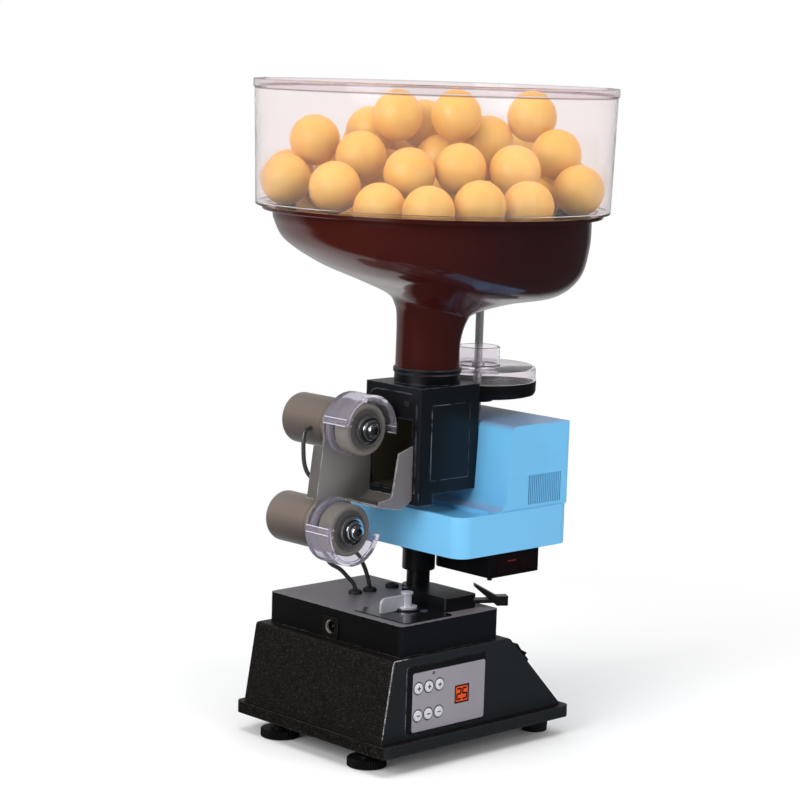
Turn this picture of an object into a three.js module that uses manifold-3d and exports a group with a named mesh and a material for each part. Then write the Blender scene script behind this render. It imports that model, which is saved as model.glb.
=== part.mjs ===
// A table tennis robot: a heavy base with a control panel, and on its post a head that sweeps left and
// right.
// The head holds a ball feeder, a hopper above it, and two motor-driven foam wheels that grip each ball
// between them and throw it. Millimetres, Z up, Z = 0 is the table, X = 0 is the ball's path.
// Balls leave towards -Y, and the control panel faces +X.
import * as THREE from "three";
import { mergeVertices } from "three/addons/utils/BufferGeometryUtils.js";
import Module from "manifold-3d";

// Fits, and how finely round things are cut
const fit = 0.3;
const overrun = 4;
const weld = 0.001;
const largeSides = 32;
const mediumSides = 20;
const smallSides = 12;
const cornerSteps = 4;

// Base pan and its feet
const footHeight = 15;
const panWidth = 175.8;
const panDepth = 208;
const panThickness = 9.5;
const panCorner = 6;
const discRadius = 15.6;
const discThickness = 7;
const knurlDepth = 0.8;
const knurlCount = 22;
const discInsetX = 36.8;
const discInsetY = 16.6;
const screwRadius = 4;
const screwEngagement = 6;
const screwHeadRadius = 7.5;
const screwHeadThickness = 1.6;
const rubberTopRadius = 11.6;
const rubberBottomRadius = 10.4;
const rubberInsetX = 27;
const rubberInsetY = 13;

// Base case
const caseSideStep = 7.3;
const caseFrontStep = 3.5;
const caseRearStep = 4.2;
const caseHeight = 64;
const caseFrontLean = 10.7;
const caseTopDepth = 126.8;
const caseWall = 3;
const caseFrontCorner = 3;
const caseRearCorner = 7;

// Control panel on the side of the case
const panelWidth = 85.5;
const panelHeight = 53.8;
const panelBack = 57.6;
const panelRise = 3;
const panelFlange = 0.9;
const panelFlangeStep = 3;
const panelCorner = 2;
const sheetWidth = 78.6;
const sheetHeight = 46.7;
const sheetThickness = 0.6;
const sheetForward = 2.25;
const sheetDrop = 2;
const buttonRadius = 4.25;
const buttonProud = 1;
const buttonTravel = 0.8;
const buttonShoulder = 0.9;
const buttonShoulderThickness = 1.6;
const buttonPitch = 11.2;
const buttonRowPitch = 21.6;
const buttonForward = 20.2;
const buttonDrop = 1.7;
const buttonColumns = 3;
const displayWidth = 15.3;
const displayHeight = 14.1;
const displayBack = 14.3;
const displayDrop = 0.5;
const displaySink = 0.2;
const switchHeight = 2.6;
const switchSize = 6;
const standoffRadius = 2.6;
const standoffInsetY = 9;
const standoffInsetZ = 3.4;
const boardThickness = 1.6;

// Power parts in the case
const coreWidth = 62;
const coreDepth = 26;
const coreHeight = 44;
const coilWidth = 42;
const coilDepth = 44;
const coilHeight = 30;
const transformerBack = 101.8;
const transformerAside = 28;

// Rocker switch on the sloping back
const rockerFrameWidth = 15;
const rockerFrameLength = 20;
const rockerFrameHeight = 5;
const rockerFrameWall = 2.2;
const rockerFrameInset = 14.6;
const rockerFrameDown = 28.5;
const rockerHeight = 3.4;
const rockerCrown = 1.6;
const rockerPivotRise = 3.4;
const rockerTilt = 6;

// Control box
const boxSideStep = 4;
const boxFrontStep = 10.4;
const boxRearStep = 9.3;
const boxHeight = 24.4;
const boxWall = 2.5;
const boxCorner = 4;
const plateWidth = 60;
const plateDepth = 52;
const plateThickness = 0.8;
const plateSideStep = 4;
const plateFrontStep = 8.5;
const plateCorner = 4;
const inletWidth = 18;
const inletHeight = 16;
const inletAside = 2.5;
const inletProud = 1.2;
const inletRise = 9.5;
const inletCorner = 1.5;
const inletBore = 5.5;
const inletDepth = 14;
const inletFloor = 3;
const grommetRadius = 5.6;
const grommetHeight = 3.2;
const grommetBore = 2.2;
const grommetAside = 30;
const grommetForward = 3.15;
const grommetMiddle = 12.85;
const grommetBack = 37.85;

// Sweep lever
const leverInset = 5.6;
const leverForward = 10.15;
const washerRadius = 11;
const washerThickness = 1;
const leverFlangeRadius = 8.3;
const leverFlangeThickness = 1.9;
const leverPostRadius = 3.9;
const leverHeight = 12.9;
const leverCapRadius = 5;
const leverCapThickness = 1.6;
const bladeReach = 28.5;
const bladeThickness = 2.2;
const bladeCorner = 5;
const bladeRise = 0.6;
const bladeDrop = 2;

// Pivot: block, clamp lever, post, collar and sweep motor
const pivotBack = 37.85;
const blockInset = 13.6;
const blockBack = 25.85;
const blockDepth = 34;
const blockHeight = 10.8;
const blockAside = 9;
const blockCorner = 4.5;
const bossRadius = 13;
const bossHeight = 8.1;
const postRadius = 9.4;
const collarRadius = 13.3;
const collarHeight = 21;
const collarRise = 21.1;
const collarStep = 1.5;
const collarStepHeight = 4;
const postSpigotRadius = 4;
const postSpigotLength = 8;
const sweepMotorRadius = 12.5;
const sweepMotorHeight = 14;
const clampScrewRadius = 2.5;
const clampScrewLength = 24;
const clampScrewSeat = 8;
const clampScrewRise = 5.5;
const clampSlant = 58.6;
const clampSide = 8;
const clampBlockLength = 9;
const clampLeafLength = 27;
const clampLeafThickness = 3;
const clampLeafRise = 12.5;

// Tray, its base plate and the receiver box under it
const trayWidth = 140;
const trayDepth = 127;
const trayHeight = 33;
const trayCorner = 13;
const trayForward = 24;
const trayWall = 3;
const recessDepth = 4;
const recessRim = 4;
const recessCorner = 9;
const trayBaseThickness = 2.5;
const receiverWidth = 63.5;
const receiverDepth = 56.4;
const receiverHeight = 19;
const receiverSideStep = 0.5;
const receiverBack = 11;
const receiverCorner = 1.5;
const receiverPinRadius = 2;
const receiverPinLength = 2;
const receiverPinInset = 3.5;
const windowWidth = 46;
const windowHeight = 15;
const windowDepth = 1.2;
const windowBack = 8;

// Housing
const housingSideStep = 1;
const housingHeight = 67.8;
const housingWall = 3;
const housingCorner = 8;
const housingEdge = 6;
const housingDraft = 3.8;
const housingToe = 10;
const housingToeRise = 2;
const housingToeCurve = 8;
const ventCount = 18;
const ventPitch = 2.15;
const ventWidth = 1.05;
const ventHeight = 24;
const ventRise = 3;
const ventRearStep = 13.5;

// Ball feeder with its exit plate and neck collar
const feederWidth = 63.6;
const feederDepth = 65.3;
const feederHeight = 84.8;
const feederLift = 13.4;
const neckBack = 2.5;
const feederForward = 36.6;
const feederFloor = 3;
const feederEdge = 1;
const feederFootDepth = 15.8;
const feederFootHeight = 8.4;
const ballBore = 23;
const exitWidth = 46;
const exitHeight = 56;
const panelRaise = 0.7;
const raisedDepth = 42;
const raisedHeight = 60;
const raisedRise = 10.6;
const raisedForward = 1.5;
const exitPlateWidth = 54;
const exitPlateHeight = 78;
const exitPlateThickness = 2;
const exitPlateProud = 0.5;
const exitPlateCorner = 9;
const exitPlateRise = 1.5;
const neckCollarRadius = 26.4;
const neckCollarHeight = 11.8;
const neckCollarFlange = 1;
const neckCollarFlangeHeight = 4;
const feedMotorRadius = 12;
const feedMotorLength = 30;
const feedMotorBack = 4;
const feedMotorFootWidth = 18;
const feedRise = 22.6;
const plungerRadius = 4;
const plungerHeadRadius = 7;
const plungerHeadThickness = 2.5;
const plungerHeadStep = 2;
const plungerEngagement = 26;

// Throwing wheels, their motors, guards and bracket
const pitch = 10.4;
const nipReach = 37.9;
const nipRise = 12.3;
const wheelSpacing = 80.1;
const wheelRadius = 20.8;
const wheelEdgeDrop = 1.1;
const wheelBack = 12;
const wheelFront = 3;
const wheelFaceRadius = 17.2;
const wheelFaceDepth = 1.2;
const hubRadius = 6;
const hubDiscRadius = 11.5;
const hubDiscThickness = 4.9;
const hubProud = 10.6;
const hubCollarRadius = 8.3;
const hubCollarProud = 7.4;
const hubSocket = 3;
const hubSocketDepth = 5;
const shaftRadius = 2.5;
const shaftInMotor = 18;
const motorRadius = 20.3;
const motorLength = 52;
const motorRound = 4;
const cheekInside = 23.5;
const sheetMetal = 1.5;
const bracketRear = 46;
const chuteDrop = 18.3;
const chuteCorner = 8;
const chuteTail = 30;
const chuteTailRise = 14.5;
const cheekToe = 5.6;
const cheekToeHeight = 4.4;
const cheekNotch = 18;
const cheekNotchHeight = 8.3;
const cheekNotchCurve = 5;
const cheekHeight = 43.7;
const cheekRearHeight = 58.6;
const webFrontTop = 18.8;
const webFrontBottom = 15.4;
const webTopHeight = 43;
const webRearWidth = 21.5;
const lobeRadius = 22;
const lipWidth = 10;
const lipReach = 21;
const shaftHole = 7;
const guardRadius = 28;
const guardWall = 2;
const guardBore = 13;
const guardPlate = 4;
const guardBossRadius = 17;
const guardStandoff = 5;
const guardFrontGap = 2.6;
const guardLowerRadius = 23.4;
const guardRim = 24.2;
const guardRibInner = 21;
const guardRibThickness = 1.6;
const guardRibPitch = 5.4;
const guardRibDepth = 2.6;

// Stirrer: dish, cover, motor, shaft and paddle
const stirAside = 20;
const stirBack = 78.5;
const dishRadius = 48.5;
const dishHeight = 12.1;
const dishRise = 12.9;
const dishWall = 3;
const dishBossRadius = 13.3;
const dishBossDrop = 6.2;
const dishPostRadius = 8;
const dishPostStep = 10;
const coverStep = 0.5;
const coverHeight = 11.6;
const coverWall = 1.8;
const chimneyRadius = 17.8;
const chimneyHeight = 15.5;
const chimneyDrop = 5;
const shaftBore = 4.4;
const stirShaftRadius = 3.45;
const shaftCollarRadius = 5.6;
const shaftCollarHeight = 6;
const shaftCollarRise = 8;
const stirMotorRadius = 10;
const stirMotorHeight = 25;
const stirShaftSeat = 12;
const paddleClear = 19;
const paddleHeight = 9;
const paddleHubRadius = 7;
const paddleReach = 27;
const paddleThickness = 5;
const paddleArms = 3;

// Hopper bowl and clear ring
const neckRadius = 25.9;
const bowlWall = 3;
const spigotStep = 1.6;
const spigotLength = 9;
const spigotGap = 0.3;
const bowlHeight = 126.6;
const lipRadius = 135;
const lipThickness = 3.6;
const bowlTurn = 65;
const bowlRings = 30;
const bowlSteps = 12;
const shallowShares = [
  [0, 0],
  [0, 0.3],
  [0.021, 0.401],
  [0.08, 0.464],
  [0.296, 0.547],
  [0.578, 0.647],
  [0.824, 0.78],
  [0.91, 0.9],
  [0.925, 0.965],
];
const deepShares = [
  [0, 0],
  [0, 0.158],
  [0.038, 0.284],
  [0.103, 0.344],
  [0.35, 0.41],
  [0.68, 0.465],
  [0.85, 0.59],
  [0.91, 0.78],
  [0.918, 0.965],
];
const bushRadius = 8;
const bushHeight = 9;
const ringTopRadius = 144;
const ringHeight = 98.1;
const ringWall = 2;
const ringLip = 6;
const ringLipProud = 1;
const ringOverhang = 5.4;
const ringFootWidth = 9;
const ringFootThickness = 2.4;

// Motor leads
const leadRadius = 1.75;
const leadSides = 8;
const leadSteps = 18;

const wasm = await Module();
wasm.setup();

// A closed three.js geometry as a solid that can be joined and cut.
function toSolid(geometry) {
  const bare = geometry.index ? geometry.toNonIndexed() : geometry.clone();
  bare.deleteAttribute("normal");
  bare.deleteAttribute("uv");
  const merged = mergeVertices(bare, weld);
  return new wasm.Manifold(
    new wasm.Mesh({
      numProp: 3,
      vertProperties: merged.attributes.position.array,
      triVerts: new Uint32Array(merged.index.array),
    }),
  );
}

// A solid as a three.js geometry.
function toGeometry(solid) {
  const data = solid.getMesh();
  return new THREE.BufferGeometry()
    .setAttribute("position", new THREE.BufferAttribute(data.vertProperties, 3))
    .setIndex(new THREE.BufferAttribute(data.triVerts, 1));
}

function finish(colour, roughness, metalness, opacity = 1) {
  return new THREE.MeshStandardMaterial({
    color: colour,
    roughness,
    metalness,
    opacity,
    transparent: opacity < 1,
    flatShading: true,
  });
}

const finishes = {
  hammered: finish(0x26221f, 0.55, 0.4),
  boxTop: finish(0x2b2a30, 0.5, 0.3),
  blackPlastic: finish(0x17181b, 0.4, 0),
  rubber: finish(0x1b1b1b, 0.9, 0),
  panelGrey: finish(0xb0adb2, 0.5, 0.1),
  buttonWhite: finish(0xe4e4e6, 0.45, 0),
  displayOrange: finish(0xe0521c, 0.3, 0),
  windowRed: finish(0x2a1216, 0.2, 0),
  brightMetal: finish(0xc9cad2, 0.25, 0.9),
  blue: finish(0x73bbe6, 0.4, 0),
  slate: finish(0x1e2126, 0.5, 0),
  sheetMetal: finish(0x6d6a6c, 0.4, 0.7),
  motorBrown: finish(0x8b7c76, 0.45, 0.5),
  foamGrey: finish(0x77706c, 0.85, 0),
  clear: finish(0xe8e4ee, 0.1, 0, 0.35),
  bowl: finish(0x2a0f0c, 0.15, 0, 0.9),
  steel: finish(0x8e9097, 0.35, 0.9),
  copper: finish(0x9a5a34, 0.4, 0.6),
  board: finish(0x1f5a38, 0.6, 0),
};

// A closed outline through corners [across, up, radius], each rounded by an arc of its radius.
function outline(corners) {
  const shape = new THREE.Shape();
  corners.forEach(([across, up, radius = 0], i) => {
    const corner = new THREE.Vector2(across, up);
    const draw = (point) => (i ? shape.lineTo(point.x, point.y) : shape.moveTo(point.x, point.y));
    if (!radius) return draw(corner);
    const back = new THREE.Vector2(...corners.at(i - 1)).sub(corner).normalize();
    const onward = new THREE.Vector2(...corners[(i + 1) % corners.length]).sub(corner).normalize();
    const half = back.angleTo(onward) / 2;
    const start = back.clone().multiplyScalar(radius / Math.tan(half)).add(corner);
    const end = onward.clone().multiplyScalar(radius / Math.tan(half)).add(corner);
    const centre = back.clone().add(onward).setLength(radius / Math.sin(half)).add(corner);
    draw(start);
    const [from, to] = [start.sub(centre).angle(), end.sub(centre).angle()];
    return shape.absarc(centre.x, centre.y, radius, from, to, back.cross(onward) > 0);
  });
  shape.closePath();
  return shape;
}

function rectangle(across, up, width, height, radius = 0) {
  const [w, h] = [width / 2, height / 2];
  return outline([
    [across - w, up - h, radius],
    [across + w, up - h, radius],
    [across + w, up + h, radius],
    [across - w, up + h, radius],
  ]);
}

function circle(across, up, radius) {
  return new THREE.Shape().absarc(across, up, radius, 0, 2 * Math.PI);
}

// How an outline's two directions and its depth lie for a slab along each axis.
const slabDirections = {
  x: [new THREE.Vector3(0, 1, 0), new THREE.Vector3(0, 0, 1), new THREE.Vector3(1, 0, 0)],
  y: [new THREE.Vector3(1, 0, 0), new THREE.Vector3(0, 0, 1), new THREE.Vector3(0, -1, 0)],
  z: [new THREE.Vector3(1, 0, 0), new THREE.Vector3(0, 1, 0), new THREE.Vector3(0, 0, 1)],
};

// An outline carried straight from one place to another along an axis. Across the outline lie Y and Z
// for a slab along X, X and Z along Y, and X and Y along Z.
function slab(shape, axis, from, to, curveSegments = cornerSteps) {
  const geometry = new THREE.ExtrudeGeometry(
    shape,
    { depth: to - from, bevelEnabled: false, curveSegments },
  );
  const directions = slabDirections[axis];
  const start = directions[2].clone().multiplyScalar(axis === "y" ? -to : from);
  return toSolid(geometry.applyMatrix4(new THREE.Matrix4().makeBasis(...directions).setPosition(start)));
}

function box(x, y, z, width, depth, height) {
  return toSolid(new THREE.BoxGeometry(width, depth, height).translate(x, y, z + height / 2));
}

// A profile of [radius, height] points turned round an upright axis, or round one along X.
function turned(profile, sides, { x = 0, y = 0, z = 0, along = "z" } = {}) {
  const points = profile.map(([radius, height]) => new THREE.Vector2(radius, height));
  const geometry = new THREE.LatheGeometry(points, sides).rotateX(Math.PI / 2);
  if (along === "x") geometry.rotateY(Math.PI / 2);
  return toSolid(geometry.translate(x, y, z));
}

function cylinder(radius, from, to, sides = mediumSides, place = {}) {
  return turned([[0, from], [radius, from], [radius, to], [0, to]], sides, place);
}

function tube(inner, outer, from, to, sides = mediumSides, place = {}) {
  const profile = [[inner, from], [outer, from], [outer, to], [inner, to], [inner, from]];
  return turned(profile, sides, place);
}

// Points on a quarter circle of a profile, round a centre, between two angles in degrees.
function bend(radius, height, size, from, to) {
  return Array.from({ length: cornerSteps + 1 }, (_, i) => {
    const angle = THREE.MathUtils.degToRad(THREE.MathUtils.lerp(from, to, i / cornerSteps));
    return [radius + size * Math.cos(angle), height + size * Math.sin(angle)];
  });
}

const robot = new THREE.Group();

function piece(name, solid, material, place = robot) {
  const mesh = new THREE.Mesh(toGeometry(solid), material);
  mesh.name = name;
  place.add(mesh);
  return mesh;
}

function placeAt(x, y, z, holder = robot) {
  const group = new THREE.Group();
  group.position.set(x, y, z);
  holder.add(group);
  return group;
}

// Base pan with the holes that the screw feet turn in.
const panBottom = footHeight;
const panTop = panBottom + panThickness;
const panFront = -panDepth / 2;
const panRear = panDepth / 2;
const sides = { left: -1, right: 1 };
const discX = panWidth / 2 - discInsetX;
const discY = panFront + discInsetY;
let pan = slab(rectangle(0, 0, panWidth, panDepth, panCorner), "z", panBottom, panTop);
for (const side of Object.values(sides)) {
  const hole = { x: side * discX, y: discY };
  pan = pan.subtract(cylinder(screwRadius + fit, panBottom - overrun, panTop + overrun, smallSides, hole));
}
piece("base_pan", pan, finishes.hammered);

// Feet: knurled screw discs in front, tapered rubber behind.
function knurledDisc() {
  const shape = new THREE.Shape();
  for (let i = 0; i < 2 * knurlCount; i++) {
    const angle = (Math.PI * i) / knurlCount;
    const radius = discRadius - (i % 2) * knurlDepth;
    const [across, up] = [radius * Math.cos(angle), radius * Math.sin(angle)];
    if (i) shape.lineTo(across, up);
    else shape.moveTo(across, up);
  }
  shape.closePath();
  return slab(shape, "z", 0, discThickness)
    .add(cylinder(screwHeadRadius, 0, discThickness + screwHeadThickness, smallSides))
    .add(cylinder(screwRadius, 0, panBottom + screwEngagement, smallSides));
}

for (const [name, side] of Object.entries(sides)) {
  piece("screw_foot_" + name, knurledDisc(), finishes.blackPlastic, placeAt(side * discX, discY, 0));
  const rubber = turned(
    [[0, 0], [rubberBottomRadius, 0], [rubberTopRadius, footHeight], [0, footHeight]],
    mediumSides,
  );
  const rubberX = side * (panWidth / 2 - rubberInsetX);
  piece("rubber_foot_" + name, rubber, finishes.rubber, placeAt(rubberX, panRear - rubberInsetY, 0));
}

// Base case: upright sides, a leaning front and a back that slopes at about 45 degrees, open below.
const caseSide = panWidth / 2 - caseSideStep;
const caseFront = panFront + caseFrontStep;
const caseRear = panRear - caseRearStep;
const caseTop = panTop + caseHeight;
const caseTopFront = caseFront + caseFrontLean;
const caseTopRear = caseTopFront + caseTopDepth;
const slopeRun = caseRear - caseTopRear;
const slopeAngle = Math.atan2(caseHeight, slopeRun);
const slopeWall = caseWall / Math.sin(slopeAngle);
const panelY = caseTopFront + panelBack;
const panelZ = panTop + panelRise + panelHeight / 2;
const sheetY = panelY + sheetForward;
const sheetZ = panelZ - sheetDrop;
const windowWidthInCase = panelWidth - 2 * panelFlangeStep;
const windowHeightInCase = panelHeight - 2 * panelFlangeStep;
const caseOutside = outline([
  [caseFront, panTop],
  [caseRear, panTop],
  [caseTopRear, caseTop, caseRearCorner],
  [caseTopFront, caseTop, caseFrontCorner],
]);
const caseInside = outline([
  [caseFront + caseWall, panTop - overrun],
  [caseRear - slopeWall, panTop - overrun],
  [caseRear - slopeWall, panTop],
  [caseTopRear - caseWall * Math.tan(slopeAngle / 2), caseTop - caseWall],
  [caseTopFront + caseWall, caseTop - caseWall],
  [caseFront + caseWall, panTop],
]);
const panelWindow = rectangle(panelY, panelZ, windowWidthInCase, windowHeightInCase, panelCorner);
const panelPocket = rectangle(panelY, panelZ, panelWidth + 2 * fit, panelHeight + 2 * fit, panelCorner);
const baseCase = slab(caseOutside, "x", -caseSide, caseSide)
  .subtract(slab(caseInside, "x", caseWall - caseSide, caseSide - caseWall))
  .subtract(slab(panelWindow, "x", caseSide - caseWall - overrun, caseSide + overrun))
  .subtract(slab(panelPocket, "x", caseSide - panelFlange, caseSide + overrun));
piece("base_case", baseCase, finishes.hammered);

// Control panel: a frame set into the case, the sheet on it, six buttons and a display window.
const frameBack = caseSide - caseWall;
const sheetFace = caseSide + sheetThickness;
const buttonPlaces = [];
for (let row = 0; row < 2; row++)
  for (let column = 0; column < buttonColumns; column++) {
    const y = panelY - buttonForward + (column - (buttonColumns - 1) / 2) * buttonPitch;
    const z = panelZ - buttonDrop + (row ? -1 : 1) * (buttonRowPitch / 2);
    buttonPlaces.push({ y, z });
  }
const buttonHoles = buttonPlaces
  .map((place) => cylinder(
    buttonRadius + fit,
    frameBack - overrun,
    sheetFace + overrun,
    smallSides,
    { ...place, along: "x" },
  ))
  .reduce((all, hole) => all.add(hole));
const displayY = sheetY + displayBack;
const displayZ = sheetZ - displayDrop;
const displayHole = slab(
  rectangle(displayY, displayZ, displayWidth + 2 * fit, displayHeight + 2 * fit),
  "x",
  frameBack - overrun,
  sheetFace + overrun,
);
const shoulderFront = frameBack - fit;
const shoulderBack = shoulderFront - buttonShoulderThickness;
const boardFront = shoulderBack - buttonTravel - fit - switchHeight;
const framePlug = rectangle(
  panelY,
  panelZ,
  windowWidthInCase - 2 * fit,
  windowHeightInCase - 2 * fit,
  panelCorner,
);
let panelFrame = slab(
  rectangle(panelY, panelZ, panelWidth, panelHeight, panelCorner),
  "x",
  caseSide - panelFlange,
  caseSide,
)
  .add(slab(framePlug, "x", frameBack, caseSide));
const standoffY = windowWidthInCase / 2 - standoffInsetY;
const standoffZ = windowHeightInCase / 2 - standoffInsetZ;
for (const across of [-1, 1])
  for (const up of [-1, 1]) {
    const place = { y: panelY + across * standoffY, z: panelZ + up * standoffZ, along: "x" };
    panelFrame = panelFrame.add(cylinder(
      standoffRadius,
      boardFront,
      caseSide - panelFlange,
      smallSides,
      place,
    ));
  }
piece("panel_frame", panelFrame.subtract(buttonHoles).subtract(displayHole), finishes.blackPlastic);
const sheet = slab(
  rectangle(sheetY, sheetZ, sheetWidth, sheetHeight, panelCorner),
  "x",
  caseSide,
  sheetFace,
);
piece("panel_sheet", sheet.subtract(buttonHoles).subtract(displayHole), finishes.panelGrey);
const display = slab(
  rectangle(displayY, displayZ, displayWidth, displayHeight),
  "x",
  frameBack,
  sheetFace - displaySink,
);
piece("display_window", display, finishes.displayOrange);
const buttonProfile = [
  [0, shoulderBack],
  [buttonRadius + buttonShoulder, shoulderBack],
  [buttonRadius + buttonShoulder, shoulderFront],
  [buttonRadius, shoulderFront],
  [buttonRadius, sheetFace + buttonProud],
  [0, sheetFace + buttonProud],
].map(([radius, x]) => [radius, x - sheetFace]);
buttonPlaces.forEach(({ y, z }, i) => {
  const button = turned(buttonProfile, smallSides, { along: "x" });
  piece("button_" + (i + 1), button, finishes.buttonWhite, placeAt(sheetFace, y, z));
});
const boardOutline = rectangle(
  panelY,
  panelZ,
  windowWidthInCase - 2 * standoffRadius,
  windowHeightInCase - standoffRadius,
);
let board = slab(boardOutline, "x", boardFront - boardThickness, boardFront);
for (const { y, z } of buttonPlaces) {
  const key = slab(
    rectangle(y, z, switchSize, switchSize),
    "x",
    boardFront - boardThickness,
    boardFront + switchHeight,
  );
  board = board.add(key);
}
piece("control_board", board, finishes.board);

// Transformer on the pan, inside the case.
const transformer = box(0, 0, 0, coreWidth, coreDepth, coreHeight).add(
  box(0, 0, (coreHeight - coilHeight) / 2, coilWidth, coilDepth, coilHeight),
);
piece(
  "transformer",
  transformer,
  finishes.copper,
  placeAt(-transformerAside, caseTopFront + transformerBack, panTop),
);

// Rocker switch, in a frame that stands on the sloping back.
const slope = placeAt(caseSide - rockerFrameInset, caseTopRear, caseTop);
slope.rotation.x = -slopeAngle;
const rockerRoomWidth = rockerFrameWidth - 2 * rockerFrameWall;
const rockerRoomLength = rockerFrameLength - 2 * rockerFrameWall;
const rockerFrame = box(
  0,
  rockerFrameDown,
  fit,
  rockerFrameWidth,
  rockerFrameLength,
  rockerFrameHeight,
).subtract(
  box(0, rockerFrameDown, fit + rockerFrameWall / 2, rockerRoomWidth, rockerRoomLength, rockerFrameHeight),
);
piece("rocker_frame", rockerFrame, finishes.blackPlastic, slope);
const rockerPivot = placeAt(0, rockerFrameDown, rockerPivotRise, slope);
rockerPivot.rotation.x = THREE.MathUtils.degToRad(rockerTilt);
const rockerHalf = rockerRoomLength / 2 - 2 * fit;
const rockerOutline = outline([
  [-rockerHalf, 0],
  [rockerHalf, 0],
  [rockerHalf, rockerHeight + rockerCrown],
  [0, rockerHeight],
  [-rockerHalf, rockerHeight + rockerCrown],
]);
const rockerHalfWidth = rockerRoomWidth / 2 - fit;
piece("rocker", slab(rockerOutline, "x", -rockerHalfWidth, rockerHalfWidth), finishes.rubber, rockerPivot);

// Control box: a shell on the case, open below, with holes for the inlet, the grommets and the post.
const boxSide = caseSide - boxSideStep;
const boxFront = caseTopFront + boxFrontStep;
const boxRear = caseTopRear - boxRearStep;
const boxTop = caseTop + boxHeight;
const boxMiddle = (boxFront + boxRear) / 2;
const boxDepth = boxRear - boxFront;
const inletZ = caseTop + inletRise;
const grommetPlaces = [
  { x: -grommetAside, y: boxMiddle - grommetForward },
  { x: -grommetAside, y: boxMiddle + grommetMiddle },
  { x: -grommetAside, y: boxMiddle + grommetBack },
];
const pivot = { x: 0, y: boxMiddle + pivotBack };
let controlBox = slab(
  rectangle(0, boxMiddle, 2 * boxSide, boxDepth, boxCorner),
  "z",
  caseTop,
  boxTop,
).subtract(
  slab(
    rectangle(0, boxMiddle, 2 * (boxSide - boxWall), boxDepth - 2 * boxWall, boxCorner - boxWall),
    "z",
    caseTop - overrun,
    boxTop - boxWall,
  ),
);
const inletBody = rectangle(-inletAside, inletZ, inletWidth - 2 * boxWall, inletHeight - 2 * boxWall);
const inletHole = rectangle(
  -inletAside,
  inletZ,
  inletWidth - 2 * boxWall + 2 * fit,
  inletHeight - 2 * boxWall + 2 * fit,
);
controlBox = controlBox
  .subtract(slab(inletHole, "y", boxFront - overrun, boxFront + boxWall + overrun))
  .subtract(cylinder(postRadius + fit, boxTop - boxWall - overrun, boxTop + overrun, mediumSides, pivot));
for (const place of grommetPlaces)
  controlBox = controlBox.subtract(cylinder(
    leadRadius + fit,
    boxTop - boxWall - overrun,
    boxTop + overrun,
    smallSides,
    place,
  ));
piece("control_box", controlBox, finishes.boxTop);
const plateX = boxSide - plateSideStep - plateWidth / 2;
const plateY = boxFront + plateFrontStep + plateDepth / 2;
piece(
  "top_plate",
  slab(
    rectangle(plateX, plateY, plateWidth, plateDepth, plateCorner),
    "z",
    boxTop,
    boxTop + plateThickness,
  ),
  finishes.blackPlastic,
);
const inlet = slab(
  rectangle(-inletAside, inletZ, inletWidth, inletHeight, inletCorner),
  "y",
  boxFront - inletProud,
  boxFront,
)
  .add(slab(inletBody, "y", boxFront - inletProud, boxFront + inletDepth))
  .subtract(slab(
    circle(-inletAside, inletZ, inletBore),
    "y",
    boxFront - overrun,
    boxFront + inletDepth - inletFloor,
    smallSides,
  ));
piece("power_inlet", inlet, finishes.blackPlastic);
grommetPlaces.forEach((place, i) => {
  const grommet = tube(grommetBore, grommetRadius, 0, grommetHeight, smallSides);
  piece("grommet_" + (i + 1), grommet, finishes.rubber, placeAt(place.x, place.y, boxTop));
});

// Sweep lever: a bright blade on a round post, over a dark washer.
const plateTop = boxTop + plateThickness;
const lever = placeAt(plateX - leverInset, boxMiddle - leverForward, plateTop);
piece("lever_washer", cylinder(washerRadius, 0, washerThickness), finishes.blackPlastic, lever);
const leverBottom = washerThickness;
const leverTop = leverBottom + leverHeight;
const blade = outline([
  [-bladeReach, bladeRise],
  [0, bladeRise],
  [0, leverTop - bladeDrop],
  [-bladeReach, leverTop - bladeDrop, bladeCorner],
]);
const bladeClear = cylinder(washerRadius + fit, -overrun, leverBottom + leverFlangeThickness / 2);
const sweepLever = slab(blade, "x", -bladeThickness / 2, bladeThickness / 2)
  .subtract(bladeClear)
  .add(cylinder(leverFlangeRadius, leverBottom, leverBottom + leverFlangeThickness))
  .add(cylinder(leverPostRadius, leverBottom, leverTop, smallSides))
  .add(cylinder(leverCapRadius, leverTop - leverCapThickness, leverTop, smallSides));
piece("sweep_lever", sweepLever, finishes.brightMetal, lever);

// Pivot block with the boss that the post turns in, and the clamp lever at its right-hand end.
const blockRight = boxSide - blockInset;
const blockY = boxMiddle + blockBack;
const blockTop = boxTop + blockHeight;
const clampAngle = THREE.MathUtils.degToRad(clampSlant);
const clampPlace = placeAt(
  blockRight - clampScrewSeat * Math.cos(clampAngle),
  blockY + blockDepth / 2 - clampScrewSeat * Math.sin(clampAngle),
  boxTop + clampScrewRise,
);
clampPlace.rotation.z = clampAngle;
const clampHole = toSolid(
  new THREE.CylinderGeometry(
    clampScrewRadius + fit,
    clampScrewRadius + fit,
    2 * clampScrewLength,
    smallSides,
  )
    .rotateZ(-Math.PI / 2)
    .translate(clampScrewLength, 0, 0)
    .rotateZ(clampAngle)
    .translate(...clampPlace.position),
);
const block = slab(
  rectangle((blockAside + blockRight) / 2, blockY, blockRight - blockAside, blockDepth, blockCorner),
  "z",
  boxTop,
  blockTop,
)
  .add(cylinder(bossRadius, boxTop, boxTop + bossHeight, mediumSides, pivot))
  .subtract(cylinder(postRadius + fit, boxTop - overrun, blockTop + overrun, mediumSides, pivot))
  .subtract(clampHole);
piece("pivot_block", block, finishes.blackPlastic);
const clampEnd = clampScrewSeat + clampScrewLength;
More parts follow.
